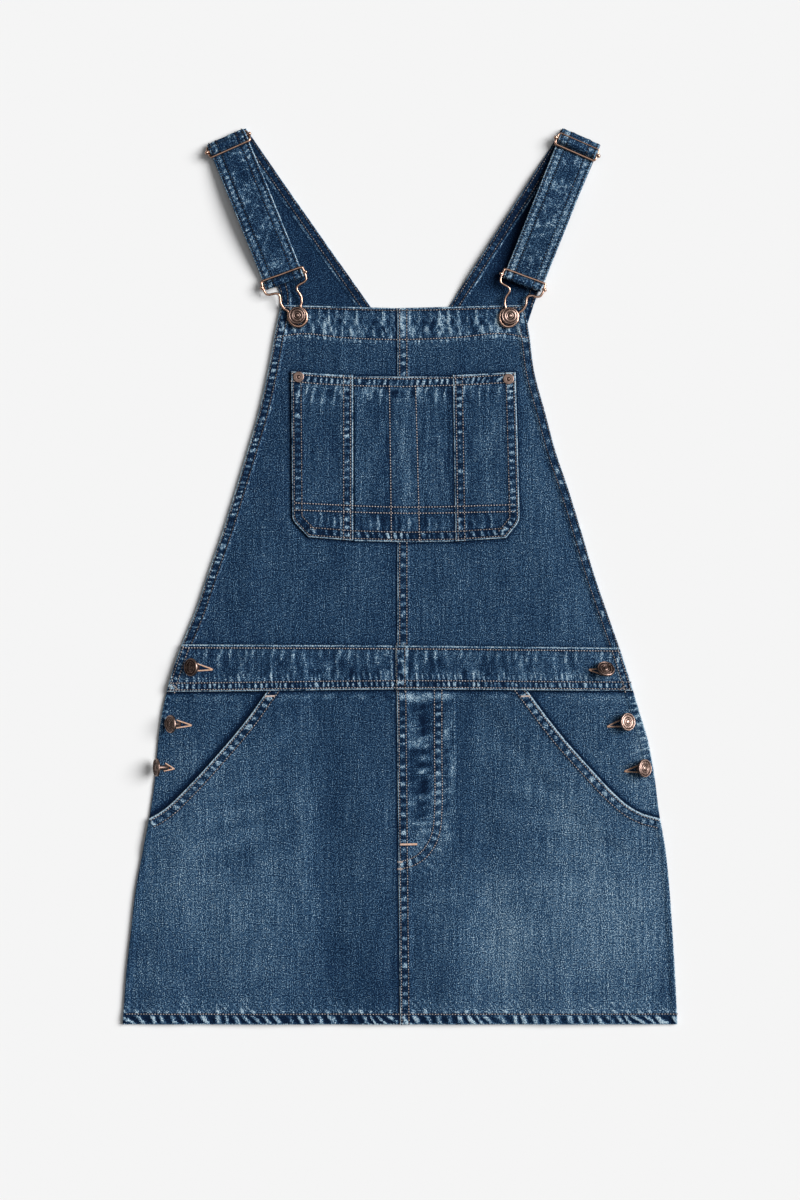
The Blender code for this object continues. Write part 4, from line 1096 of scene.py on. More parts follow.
def cloth_piece(name, grids, material, held="laid"):
    """One object from one or more grids; each is a closed shell."""
    points, faces, weave, tones, wears = [], [], [], [], []
    width = length = area = 0.0
    count = 0
    for top, under, tone, wear, cloth in grids:
        shell_points, shell_faces, source = shell(top, under)
        points.append(shell_points)
        faces += [[index + count for index in face] for face in shell_faces]
        count += len(shell_points)
        weave.append(np.column_stack([cloth.reshape(-1, 2), np.zeros(len(tone))])[source])
        tones.append((tone / 255.0)[source])
        wears.append(wear[source])
        steps_down, steps_across = (np.diff(top, axis=axis) for axis in (0, 1))
        width += np.linalg.norm(steps_across, axis=2).sum(axis=1).max()
        length = max(length, np.linalg.norm(steps_down, axis=2).sum(axis=0).max())
        area += np.linalg.norm(np.cross(steps_across[:-1], steps_down[:, :-1]), axis=2).sum()
    piece = new_piece(name, np.vstack(points), faces, material,
                      {"weave": np.vstack(weave), "tone": np.concatenate(tones), "wear": np.concatenate(wears)})
    CUTS.append((finish_piece(piece, material, name), width * MM, length * MM, area * MM * MM, held))


def laid_panel(name, zone, ends, top, bottom, pitch=FINE, material="denim"):
    left, right = (np.asarray(end, float) for end in ends)
    grids = panel_grid(zone, left, right, top, bottom, pitch)
    cloth = grids[0][..., :2] + 3.7 * (sum(map(ord, name)) % 97)     # no two pieces share their grain
    cloth_piece(name, [grids + (cloth,)], material)


# ---------------------------------------------------------------- the cloth pieces

# Where in the grain of the denim these pieces lie, so that no two are alike.
GRAIN = {"back_bib": 411.0, "strap_left": 900.0, "strap_right": 1300.0}
SEAM_SLIT = 0.25      # what is left open between a lapped piece and the edge that laps it
SMALL = 0.8 * FINE    # the grid's pitch on small pieces
MEDIUM = 0.85 * FINE  # and on side panels and straps


def shifted(points, distance):
    return [(x + distance, y) for x, y in points]


def centre_edges(name):
    """The centre edge of a left half, and of the right half that laps it."""
    return shifted(LAP[name], -SEAM_SLIT), LAP[name]


def make_skirt():
    for side in SIDES:
        slant = part_of(POCKET_LINE[side], SKIRT_TOP_Y, POCKET_END_Y)
        edge = np.vstack([slant, part_of(EDGE_LINE[side], POCKET_END_Y - 1.0, HEM_Y)])
        lapped, lap = centre_edges("skirt")
        skirt = (edge, lapped) if side == "left" else (lap, edge)
        laid_panel("front_skirt_" + side, "skirt", skirt, SKIRT_TOP_Y, HEM_Y)
        panel = [EDGE_LINE[side], slant - (PANEL_RUN_IN * SIGN[side], 0.0)][::-int(SIGN[side])]
        laid_panel("side_panel_" + side, "side", panel, SKIRT_TOP_Y, PANEL_FOOT_Y, MEDIUM)


def make_waistband():
    (left, right, middle), (left_foot, right_foot, foot) = WAIST_EDGE_Y, WAIST_FOOT_Y
    lapped, lap = centre_edges("waist")
    laid_panel("front_waistband_left", "waist", (EDGE_LINE["left"], lapped),
               (left, middle), (left_foot, foot), SMALL)
    laid_panel("front_waistband_right", "waist", (lap, EDGE_LINE["right"]),
               (middle, right), (foot, right_foot), SMALL)


def make_bib():
    lapped, lap = centre_edges("bib")
    laid_panel("bib_left", "bib", (EDGE_LINE["left"], lapped), (BIB_TOP_Y, BIB_CENTRE_Y), BIB_FOOT_Y)
    laid_panel("bib_right", "bib", (lap, EDGE_LINE["right"]), (BIB_CENTRE_Y, BIB_TOP_Y), BIB_FOOT_Y)


def make_pocket():
    left_fold, right_fold = POCKET_FOLD["left"][::-1], POCKET_FOLD["right"]
    left, right = (cornered(POCKET_SIDES[side], POCKET_CORNER) for side in SIDES)
    for name, ends, corners in (
            ("left", (left, left_fold), ("left", "left_fold")),
            ("middle", (shifted(left_fold, SEAM_SLIT), shifted(right_fold, -SEAM_SLIT)), ("middle", "middle")),
            ("right", (right_fold, right[::-1]), ("right_fold", "right"))):
        top, foot = ([heights[corner] for corner in corners] for heights in (POCKET_TOP, POCKET_FOOT))
        laid_panel("bib_pocket_" + name, "pocket", ends, top, foot, SMALL)


def make_back():
    sides = [EDGE_LINE[side] for side in SIDES]
    laid_panel("back_skirt", "back", sides, BACK_SKIRT_TOP_Y, BACK_HEM_Y, COARSE, "denim_inside")
    laid_panel("back_waistband", "back", sides, *BACK_BAND_Y, COARSE, "denim_inside")
    grids = []
    for side in SIDES:
        outer, inner = bib_half(side)
        order = -int(SIGN[side])
        seam_x = NECK_X + SIGN[side] * SEAM_SLIT
        inset = (BACK_INSET * SIGN[side], 0.0)
        edge = np.vstack([outer, part_of(EDGE_LINE[side], 230.0, WAIST_TOP_Y) - inset])
        seam = np.vstack([inner[:-1], [(seam_x, 193.0), (seam_x, WAIST_TOP_Y)]])
        tops = BACK_BIB_TOP[side][0].outer_y, BACK_BIB_TOP[side][0].inner_y
        ends = [edge, seam][::order]
        grid = panel_grid("back", *ends, tops[::order], BACK_BIB_FOOT_Y, FINE, BIB_COVERS_Y)
        grids.append(grid + (grid[0][..., :2] + GRAIN["back_bib"],))
    cloth_piece("back_bib", grids, "denim_inside")


# ---------------------------------------------------------------- the straps

def arc(centre, radius, start, end, steps):
    """Points on a circle from one angle to another, in degrees."""
    angles = np.radians(np.linspace(start, end, steps + 1))
    return [(centre[0] + radius * math.cos(angle), centre[1] + radius * math.sin(angle)) for angle in angles]


def strap_length(side):
    return math.hypot(BUCKLE[side].x - SLIDER[side].x, BUCKLE[side].y - SLIDER[side].y)


def strap_path(side):
    """The strap's middle line: distance down the strap from the slider's lower wire, height."""
    clear = WIRE_RADIUS + GAP + STRAP / 2
    layer = STRAP + GAP
    length = strap_length(side)
    back_z = CLOTH + GAP + STRAP / 2
    slider_under = SLIDER_Z - clear
    fold_radius = (slider_under - back_z) / 2
    fold_down = fold_radius + STRAP / 2 - FOLD_REACH[side]

    def run(shares, start, end, arch):
        """A stretch between slider and buckle, its heights from start to end over an arch."""
        return [(length * share, lerp(start, end, share) + arch * math.sin(math.pi * share))
                for share in shares]

    path = [(SLIDER_BAR, back_z)]
    path += arc((fold_down, back_z + fold_radius), fold_radius, 270, 90, 14)
    if fold_down < -SLIDER_TOP:
        path += arc((-SLIDER_TOP, SLIDER_Z), clear, 270, 320, 5)
    path += arc((-SLIDER_BAR, SLIDER_Z), clear, 140, 40, 9)
    path += arc((0.0, SLIDER_Z), clear, 220, 270, 5)

    buckle_under = BUCKLE_Z - clear
    path += run([step / 24 for step in range(1, 24)], slider_under, buckle_under, STRAP_ARCH)
    path += arc((length, BUCKLE_Z), clear, 270, 320, 5)
    path += arc((length + BUCKLE_BAR, BUCKLE_Z), clear, 140, -90, 20)

    return_buckle = buckle_under - layer
    return_slider = slider_under - layer - 0.05
    path += [(length + 3.4, return_buckle + 1.3), (length + 1.4, return_buckle + 0.4)]
    path += run([step / 16 for step in range(15, 0, -1)], return_slider, return_buckle, RETURN_ARCH)
    path += [(5.0, return_slider), (0.0, return_slider), (-2.5, return_slider + 0.7)]
    path += [(-4.4, slider_under - 0.3), (-SLIDER_BAR, slider_under), (-SLIDER_BAR - 1.5, slider_under)]
    return path


class Strap(Track):
    """A strap as a surface: run along its path and across it, to a place in the frame."""

    def __init__(self, side):
        super().__init__(soft(strap_path(side)), lambda length: int(length / 0.5))
        self.side = side

    def place(self, run, across, lift):
        """Places at a run, a distance across and a lift off the middle, outwards."""
        down, height, step_down, step_up = self.at(run)
        slider, buckle = SLIDER[self.side], BUCKLE[self.side]
        down = down - step_up * lift
        height = height + step_down * lift
        length = strap_length(self.side)
        share = np.clip(down / length, 0.0, 1.0)
        turn = np.radians(lerp(slider.turn, buckle.turn, share))
        beyond = down - share * length
        middle_x = lerp(slider.x, buckle.x, share) + np.sin(turn) * beyond
        middle_y = lerp(slider.y, buckle.y, share) - np.cos(turn) * beyond
        return np.stack([middle_x + np.cos(turn) * across, middle_y + np.sin(turn) * across, height], axis=-1)


STRAP_SEAM = Seam("strap", None, (2.2, 8.6), 10.0, 0.0, 1.1, 1.15, pitch=5.0, slant=0.4, bulk=((10.4, 0.4),),
                  thread=-0.2)
# Three sets of pale creases that cross on a strap: how far each leans, and its seed.
STRAP_VEINS = ((0.95, 34), (-1.15, 44), (0.3, 54))


def strap_surface(side, run, across):
    """A strap's relief, tone and wear: a pale cloud of creases between two edges alike."""
    shift = -SIGN[side]
    middle = smooth((10.4 - np.abs(across)) / 2.5)
    relief = 0.12 * mottle(run, across, 14, 12, 30)
    relief = relief + 0.35 * hump(across, 9.0) * mottle(run, across, 20, 40, 31)
    tone = 45.0 - 3.5 * shift + 7.0 * mottle(run, across, 14, 8, 32) + 6.0 * mottle(run, across, 4, 4, 33)
    band = 48.0 - 7.0 * shift + 20.0 * mottle(run, across, 2.6, 2.6, 39)
    band = band + 10.0 * mottle(run, across, 9, 6, 40)
    tone = tone + band * (1.0 - middle)
    wear = 0.1 * (1.0 - middle)
    for lean, seed in STRAP_VEINS:
        phase = (run + lean * shift * across) / 16.0 + 0.55 * mottle(run, across, 9, 7, seed)
        phase = phase + 0.12 * mottle(run, across, 2.5, 2.5, seed + 1)
        gate = np.clip(0.3 + 1.4 * mottle(run, across, 8, 6, seed + 2), 0.0, 1.0) * middle
        vein = hump(phase - np.round(phase), 0.075) * gate
        tone = tone + (45.0 - 4.0 * shift) * vein + 7.0 * hump(phase - np.round(phase), 0.2) * gate
        wear = wear + 0.38 * vein
        relief = relief + 0.35 * vein
    for end, seed in ((1.0, 175), (-1.0, 180)):
        brighter = 0.85 if end == shift else 1.15
        inside = STRAP_WIDTH / 2 + end * across
        seam = STRAP_SEAM._replace(seed=seed, slant=0.4 * end, edge=0.75 * brighter)
        more, worn, dye_and_shade = sewn(seam, 1e6, inside, run + 50.0)
        relief = relief + more
        wear = wear + worn
        tone = tone + dye_and_shade
        # Painted shade in the stitch holes along each row, which also keeps them from wear.
        for row in STRAP_SEAM.stitches:
            shaded_holes = hump(inside - row, 1.5) * (0.72 + 0.28 * np.cos(2.0 * math.pi * run / STITCH_PITCH))
            wear = wear * (1.0 - 0.95 * shaded_holes)
            tone = tone - 36.0 * shaded_holes
    return relief, tone, np.clip(wear, 0.0, 1.0)


def make_strap(side):
    strap = Strap(side)
    run = np.linspace(0.0, strap.length, int(strap.length / MEDIUM))
    steps = across_steps(np.array([STRAP_WIDTH]), np.ones(1), np.ones(1), MEDIUM)[0]
    runs, across = np.meshgrid(run, steps - STRAP_WIDTH / 2, indexing="ij")
    relief, tone, wear = strap_surface(side, runs.ravel(), across.ravel())
    ends = np.minimum(runs, strap.length - runs)
    rim = rim_drop(np.minimum(ends, STRAP_WIDTH / 2 - np.abs(across)))
    outer = strap.place(runs, across, STRAP / 2 * rim + relief.reshape(runs.shape) * (rim > 0.0))
    inner = strap.place(runs, across, -STRAP / 2)
    cloth = np.dstack([across, runs]) + GRAIN["strap_" + side]
    cloth_piece("strap_" + side, [(outer, inner, tone, wear, cloth)], "denim", "folded")
    stitches = []
    for offset in STRAP_SEAM.stitches:
        for edge in (-1.0, 1.0):
            middles = stitch_places(strap.length, 60 + int(offset) + int(edge))
            line = edge * (STRAP_WIDTH / 2 - offset)
            ends = [strap_on(strap, middles + shift, line) for shift in STITCH_SHIFTS]
            stitches.append((ends, STRAP_SEAM.thread))
    thread_piece("strap_stitches_" + side, stitches, STRAP_STITCH_RADIUS)


def strap_on(strap, run, across):
    """Places on a strap's outer side."""
    line = np.full(len(run), across)
    relief = strap_surface(strap.side, run, line)[0]
    return strap.place(run, line, STRAP / 2 + relief + 0.05)


# ---------------------------------------------------------------- thread

STITCH_PITCH = 2.6
STITCH_RADIUS = 0.5
STRAP_STITCH_RADIUS = 0.68
STITCH_SHIFTS = (-0.68, 0.0, 0.68)
STITCH_SIDES = 5
STITCH_RINGS = ((-0.78, 0.8), (0.0, 1.0), (0.78, 0.8))       # place along the stitch, share of its radius


def stitch_places(length, seed):
    """Middles of the stitches along a line, nearly even."""
    count = max(2, int(length / STITCH_PITCH))
    middles = (np.arange(count) + 0.5) * length / count
    return middles + np.random.default_rng(seed).uniform(-0.15, 0.15, count)


def stitch_mesh(ends, radius):
    """Points of all stitches in a row, each a small tube pointed at both ends."""
    start, middle, end = ends
    along = end - start
    reach = np.linalg.norm(along, axis=1)[:, None]
    along = along / reach
    side = np.cross(along, (0.0, 0.0, 1.0))
    side = side / np.maximum(np.linalg.norm(side, axis=1), 1e-6)[:, None]
    up = np.cross(side, along)
    middle = 0.5 * (start + end) * 0.3 + middle * 0.7
    rings = [middle - along * reach / 2 - up * radius * 0.4]
    for place, share in STITCH_RINGS:
        centre = middle + along * reach / 2 * place + up * radius * (0.55 - 0.45 * abs(place))
        for index in range(STITCH_SIDES):
            angle = 2.0 * math.pi * index / STITCH_SIDES
            rings.append(centre + radius * share * (math.cos(angle) * up + math.sin(angle) * side))
    rings.append(middle + along * reach / 2 - up * radius * 0.4)
    return np.stack(rings, axis=1)


def stitch_faces():
    """The faces of one stitch."""
    last = 1 + STITCH_SIDES * len(STITCH_RINGS)
    faces = []
    for index in range(STITCH_SIDES):
        following = (index + 1) % STITCH_SIDES
        faces.append((0, 1 + following, 1 + index))
        faces.append((last, last - STITCH_SIDES + index, last - STITCH_SIDES + following))
        for ring in range(len(STITCH_RINGS) - 1):
            base = 1 + ring * STITCH_SIDES
            faces.append((base + index, base + following, base + STITCH_SIDES + following,
                          base + STITCH_SIDES + index))
    return faces


def thread_piece(name, stitches, radius=STITCH_RADIUS):
    """One object of many stitches: a list of (start, middle, end points of a row, light share)."""
    points, shades = [], []
    for index, (ends, light) in enumerate(stitches):
        row = stitch_mesh(ends, radius)
        points.append(row)
        tints = light + np.random.default_rng(900 + index).normal(0.0, 0.16, len(row))
        shades.append(np.repeat(tints, row.shape[1]))
    points = np.vstack(points)
    shades = np.concatenate(shades)
    pattern = stitch_faces()
    size = points.shape[1]
    faces = [[size * stitch + corner for corner in face] for stitch in range(len(points)) for face in pattern]
    piece = new_piece(name, points.reshape(-1, 3), faces, "thread", {"shade": np.clip(shades, 0.0, 2.2)})
    finish_piece(piece, "thread")


def on_zone(zone, x, y, lift=0.05):
    return np.column_stack([x, y, surface(zone, x, y)[0] + lift])


def covered(zone, x, y):
    """Whether a spot is off the cloth or something lies over it, so that no stitch goes there."""
    off = (x < x_on(EDGE_LINE["left"], y) + 0.9) | (x > x_on(EDGE_LINE["right"], y) - 0.9)
    if zone == "bib":
        under_pocket = (np.abs(x - 4.0) < 98.0) & (y > 36.0) & (y < 181.0)
        return off | (y < WAIST_TOP_Y - 2) | under_pocket
    if zone == "skirt":
        return off | (y > WAIST_BOTTOM_Y + 2)
    if zone == "back":
        under_bib, under_fold = y < 246.0, y > 404.0
        return under_bib | under_fold
    return off


def make_stitches():
    """The rows along the seams: light stitches, and between them near-black stitches sunk into the cloth, painted
    shade in the holes where thread dives.
    """
    for zone in ZONES:
        rows = []
        for seam in (seam for seam in SEAMS if seam.zone == zone):
            for offset in seam.stitches:
                middles = stitch_places(seam.line.length, seam.seed + int(offset))
                middles = middles[~covered(zone, *seam.line.beside(middles, offset))]
                if len(middles) < 2:
                    continue
                # the second set are near-black stitches that paint the shade in the holes between the light ones
                for slide, lift, light in ((0.0, 0.05, seam.thread), (STITCH_PITCH / 2, -0.2, -1.0)):
                    places = [np.clip(middles + shift + slide, 0.0, seam.line.length)
                              for shift in STITCH_SHIFTS]
                    ends = [on_zone(zone, *seam.line.beside(place, offset), lift) for place in places]
                    rows.append((ends, light))
        if rows:
            thread_piece(zone + "_stitches", rows)


# Bar tacks and buttonhole legs: close threads across a short line. Light is the thread's shade.
Tack = namedtuple("Tack", "zone x_start y_start x_end y_end reach light")
TACKS = [Tack(*row) for row in (
    ("skirt", 0.3, -246.9, 15.5, -246.7, 1.15, 1.9), ("skirt", -2.0, -263.0, 2.0, -263.0, 0.8, 1.4),
    ("skirt", -2.0, -269.4, 2.0, -269.4, 0.8, 1.4), ("skirt", -123.6, -110.6, -115.4, -110.2, 0.9, 1.5),
    ("skirt", 111.3, -110.6, 119.6, -110.2, 0.9, 1.5), ("waist", -209.0, -100.0, -204.0, -104.6, 0.7, 0.5),
    ("waist", 207.0, -101.0, 202.0, -104.6, 0.7, 0.5),
)]
TACK_PITCH = 0.62
TACK_RADIUS = 0.36


def square_to(heading):
    return np.array((-heading[1], heading[0]))


def tack_row(tack):
    start = np.array((tack.x_start, tack.y_start))
    end = np.array((tack.x_end, tack.y_end))
    length = np.linalg.norm(end - start)
    across = square_to((end - start) / length)
    middle = lerp(start, end, np.linspace(0.0, 1.0, max(3, int(length / TACK_PITCH)))[:, None])
    return [on_zone(tack.zone, *(middle + across * tack.reach * sign).T, 0.1 if sign else 0.35)
            for sign in (-1.0, 0.0, 1.0)]


def button_zone(button):
    """What the shank of a side button comes through."""
    return "waist" if button.number == 1 else "side"


def make_tacks():
    rows = [(tack_row(tack), tack.light) for tack in TACKS]
    for button in SIDE_BUTTONS:
        apex = np.array((button.apex_x, button.apex_y))
        foot = np.array((button.shank_x, button.shank_y))
        heading = (foot - apex) / np.linalg.norm(foot - apex)
        across = square_to(heading)
        zone = button_zone(button)
        for sign in (-1.0, 1.0):
            start = apex + across * 0.5 * sign
            end = foot + heading * 2.0 + across * 3.5 * sign
            rows.append((tack_row(Tack(zone, *start, *end, 0.75, 1.6)), 2.1))
        rows.append((tack_row(Tack(zone, *(apex - heading), *(apex + heading * 0.6), 0.9, 1.6)), 2.2))
    thread_piece("tacks_and_buttonholes", rows, TACK_RADIUS)


# ---------------------------------------------------------------- wires, buttons and rivets

def give_tarnish_and_painted_light(piece, share):
    """Painted shade on upright sides and a painted lighter top on what faces up, added to the tarnish that lies in the
    rings.
    """
    mesh = piece.data
    facing = np.empty(len(mesh.vertices) * 3, np.float32)
    mesh.vertex_normals.foreach_get("vector", facing)
    upward = facing.reshape(-1, 3)[:, 2]
    grime = mesh.attributes.get("grime") or mesh.attributes.new("grime", "FLOAT", "POINT")
    rings = np.empty(len(mesh.vertices), np.float32)
    grime.data.foreach_get("value", rings)
    # darker where the surface turns sideways and lighter where it faces up: painted shade and painted light
    values = np.clip(share + rings + 0.6 * (0.62 - upward), 0.0, 1.0)
    grime.data.foreach_set("value", values.astype(np.float32))


def pick(*pieces):
    """Selects the pieces and makes the first one active."""
    bpy.ops.object.select_all(action="DESELECT")
    for piece in pieces:
        piece.select_set(True)
    bpy.context.view_layer.objects.active = pieces[0]


def wire(name, points, radii, closed):
    """A round wire through points in millimetres, as a mesh; radii is one number or one for each point."""
    curve = bpy.data.curves.new(name, "CURVE")
    curve.dimensions = "3D"
    curve.bevel_depth = MM
    curve.bevel_resolution = 4
    curve.use_fill_caps = not closed
    spline = curve.splines.new("POLY")
    spline.points.add(len(points) - 1)
    for spot, point, radius in zip(spline.points, points, np.broadcast_to(radii, len(points))):
        spot.co = [value * MM for value in point] + [1.0]
        spot.radius = radius
    spline.use_cyclic_u = closed
    pick(new_object(name, curve))
    bpy.ops.object.convert(target="MESH")
    return bpy.context.view_layer.objects.active


def set_down(piece, x, y, z, turn=0.0, tilt=0.0):
    """Puts a piece in its place, in its mesh: tilted about its own Y, then turned about Z."""
    pick(piece)
    piece.rotation_euler = (0.0, math.radians(tilt), math.radians(turn))
    piece.location = (x * MM, y * MM, z * MM)
    bpy.ops.object.transform_apply(location=True, rotation=True, scale=True)
    return piece


def join(*pieces):
    pick(*pieces)
    bpy.ops.object.join()
    return pieces[0]


def finish_metal(piece, slot, node, grime):
    piece.data.materials.clear()
    piece.data.materials.append(MATERIALS[slot])
    piece.data.shade_smooth()
    give_tarnish_and_painted_light(piece, grime)
    piece.name = node
    finish_piece(piece, slot, node)


def knobbed_bar(fitting, down, z):
    """A bar along X with a ball on each end, some way down from a fitting's place."""
    ball = [(math.cos(angle), math.sin(angle)) for angle in np.radians(np.linspace(0.0, 138.0, 10))]
    reach = [(KNOB_REACH + KNOB_RADIUS * along, max(KNOB_RADIUS * out, 0.05)) for along, out in ball]
    profile = [(x, radius) for x, radius in reach if x > KNOB_REACH - KNOB_RADIUS * 0.75]
    profile.append((profile[-1][0] - 0.4, WIRE_RADIUS))
    profile += [(-x, radius) for x, radius in profile[::-1]]
    bar = wire("bar", [(x, 0.0, 0.0) for x, _ in profile], [radius for _, radius in profile], False)
    turn = math.radians(fitting.turn)
    return set_down(bar, fitting.x + math.sin(turn) * down, fitting.y - math.cos(turn) * down, z, fitting.turn)


def rounded_frame(half_width, top, radius, rise):
    """The slider's frame: a rectangle with round corners, lower wire on y = 0, upper one rise higher."""
    corners = [(half_width, 0.0, -90), (half_width, top, 0), (-half_width, top, 90), (-half_width, 0.0, 180)]
    points = []
    for x, y, start in corners:
        centre = (x - math.copysign(radius, x), radius if y == 0.0 else top - radius)
        points += [spot + (rise * spot[1] / top,) for spot in arc(centre, radius, start, start + 90, 8)]
    return points


# A slider's upper wire: the left one runs inside the strap's fold, the right one lies across it.
Upper = namedtuple("Upper", "top rise radius")
SLIDER_UPPER = {"left": Upper(10.5, -4.4, 0.9), "right": Upper(SLIDER_TOP, -0.75, 0.55)}
# How dark the fittings are: tarnish, with painted light too, as the paler right-hand buckle and bib button stand in
# for the light that they reflect; below 0 they are pale pink.
SLIDER_TARNISH_AND_LIGHT = {"left": 0.35, "right": 0.3}
BUCKLE_TARNISH_AND_LIGHT = {"left": 0.38, "right": -0.4}
BIB_BUTTON_TARNISH_AND_LIGHT = {"left": 0.45, "right": 0.1}
RIVET_GRIME = 0.45


def make_sliders():
    for side, fitting in SLIDER.items():
        upper = SLIDER_UPPER[side]
        around = rounded_frame(FRAME_HALF, upper.top, 2.6, upper.rise)
        radii = [lerp(WIRE_RADIUS, upper.radius, spot[1] / upper.top) for spot in around]
        outer = set_down(wire("frame", around, radii, True), fitting.x, fitting.y, SLIDER_Z, fitting.turn)
        bar = knobbed_bar(fitting, -SLIDER_BAR, SLIDER_Z)
        finish_metal(join(outer, bar), "rose_wire", "slider_" + side, SLIDER_TARNISH_AND_LIGHT[side])


def highest(height, x, y, radius):
    """The highest point of a surface under a round foot."""
    xs, ys = np.meshgrid((x - radius, x, x + radius), (y - radius, y, y + radius))
    return height(xs.ravel(), ys.ravel()).max()


def bib_top(x, y):
    return surface("bib", x, y)[0]


def ring_height(side):
    x, y = BIB_BUTTON[side]
    return highest(bib_top, x, y, 11.0) + RING_RADIUS + 0.1


def through(points, steps):
    """A smooth closed line through points, with steps in each gap."""
    spots = np.array(points, float)
    before, end, after = (np.roll(spots, shift, axis=0) for shift in (1, -1, -2))
    t = np.arange(steps)[None, :, None] / steps
    before, start, end, after = (spot[:, None, :] for spot in (before, spots, end, after))
    line = 0.5 * (2 * start + (end - before) * t + (2 * before - 5 * start + 4 * end - after) * t ** 2
                  + (3 * start - before - 3 * end + after) * t ** 3)
    return line.reshape(-1, 3)


def make_buckles():
    bend = BUCKLE_BAR + 5.0
    slope = BUCKLE_RING - 10.0 - bend
    for side, fitting in BUCKLE.items():
        lay = ring_height(side) - BUCKLE_Z
        half = [(point.across, -point.down, lay * min(max((point.down - bend) / slope, 0.0), 1.0))
                for point in BUCKLE_WIRE]
        around = through(half + [(-x, y, z) for x, y, z in half[1:-1]][::-1], 8)
        shift = smooth((-around[:, 1] - 33.0) / 6.0)
        around[:, 0] += RING_SHIFT[side][0] * shift
        around[:, 1] -= RING_SHIFT[side][1] * shift
        radii = lerp(WIRE_RADIUS, RING_RADIUS, smooth((-around[:, 1] - 36.0) / 8.0))
        loop = set_down(wire("loop", around, radii, True), fitting.x, fitting.y, BUCKLE_Z, fitting.turn)
        bar = knobbed_bar(fitting, BUCKLE_BAR, BUCKLE_Z)
        finish_metal(join(loop, bar), "rose_wire", "buckle_" + side, BUCKLE_TARNISH_AND_LIGHT[side])


def ringed_disc(name, radius, depth, steps):
    """A disc on z = 0 whose top is worked in rings: each step insets the top and then lifts it."""
    sides = 48
    bpy.ops.object.select_all(action="DESELECT")
    bpy.ops.mesh.primitive_cylinder_add(vertices=sides, radius=radius * MM, depth=depth * MM,
                                        location=(0.0, 0.0, depth * MM / 2))
    piece = bpy.context.view_layer.objects.active
    piece.name = name
    bpy.ops.object.transform_apply(location=True)
    bpy.ops.object.mode_set(mode="EDIT")
    bpy.ops.mesh.select_all(action="DESELECT")
    bpy.ops.mesh.select_mode(type="FACE")
    bpy.ops.object.mode_set(mode="OBJECT")
    for face in piece.data.polygons:
        face.select = face.normal.z > 0.9
    bpy.ops.object.mode_set(mode="EDIT")
    for ring in steps:
        bpy.ops.mesh.inset(thickness=ring.inset * MM, depth=0.0)
        bpy.ops.transform.translate(value=(0.0, 0.0, ring.rise * MM))
    bpy.ops.object.mode_set(mode="OBJECT")

    edges = radius - np.cumsum([0.0] + [ring.inset for ring in steps])
    reach = np.array([math.hypot(spot.co.x, spot.co.y) / MM for spot in piece.data.vertices])
    values = np.interp(-reach, -edges, [0.0] + [ring.grime for ring in steps])
    values[:2 * sides] = 0.3
    grime = piece.data.attributes.new("grime", "FLOAT", "POINT")
    grime.data.foreach_set("value", values.astype(np.float32))
    return piece


def button_head(radius, bead_ring):
    """A ringed head with a ring of small beads on it, that is bead_ring in radius."""
    pieces = [ringed_disc("head", radius, HEAD_THICKNESS, BUTTON_RINGS)]
    for index in range(BEAD_COUNT):
        angle = 2.0 * math.pi * index / BEAD_COUNT
        bpy.ops.mesh.primitive_ico_sphere_add(
            subdivisions=1, radius=BEAD_RADIUS * MM,
            location=(bead_ring * MM * math.cos(angle), bead_ring * MM * math.sin(angle), BEAD_HEIGHT * MM))
        pieces.append(bpy.context.view_layer.objects.active)
    return join(*pieces)


# How far in each ring starts, how much it rises, and how tarnished it is.
Ring = namedtuple("Ring", "inset rise grime")
BUTTON_RINGS = [Ring(*row) for row in (
    (0.4, 0.8, 0.0), (0.45, 0.35, -0.1), (0.5, -0.1, 0.2), (0.25, -0.45, 1.1), (0.45, 0.0, 1.1),
    (0.3, 0.3, 0.3), (1.85, 0.0, 0.4), (0.3, -0.35, 1.1), (0.3, 0.0, 1.1), (0.25, 0.35, 0.1), (0.4, 0.0, 0.1),
    (0.25, -0.3, 1.0), (0.6, 0.0, 1.0), (0.3, 0.4, 0.0), (0.7, 0.2, -0.3),
)]
RIVET_RINGS = [Ring(*row) for row in (
    (0.2, 0.1, 0.1), (0.3, 0.1, 0.0), (0.15, 0.0, 0.3), (2.3, 0.0, 0.2), (0.15, 0.0, 0.4), (0.35, -0.3, 1.0),
    (0.3, 0.0, 1.0), (0.2, 0.3, -0.2),
)]
BEAD_COUNT = 26
BEAD_RADIUS = 0.42
BEAD_HEIGHT = 2.05
HEAD_THICKNESS = 1.1
RIVET_THICKNESS = 0.6


def shank(foot, head, direction):
    """A leaning shank that leaves the cloth upright and enters the head square."""
    end = np.array(head) + 0.8 * np.array(direction)
    foot = np.array(foot)
    first = foot + (0.0, 0.0, 0.45 * (end[2] - foot[2]))
    share = np.linspace(0.0, 1.0, 8)[:, None]
    points = lerp(lerp(foot, first, share), lerp(first, end, share), share)
    return wire("shank", points, SHANK_RADIUS * 0.85, False)


def make_bib_buttons():
    for side, (x, y) in BIB_BUTTON.items():
        underside = ring_height(side) + RING_RADIUS + 0.2
        head = set_down(button_head(BUTTON_RADIUS - 0.4, 4.85), x, y, underside)
        foot = (x, y, highest(bib_top, x, y, SHANK_RADIUS) - 0.3)
        stem = shank(foot, (x, y, underside), (0.0, 0.0, 1.0))
        finish_metal(join(head, stem), "aged_copper", "bib_button_" + side, BIB_BUTTON_TARNISH_AND_LIGHT[side])


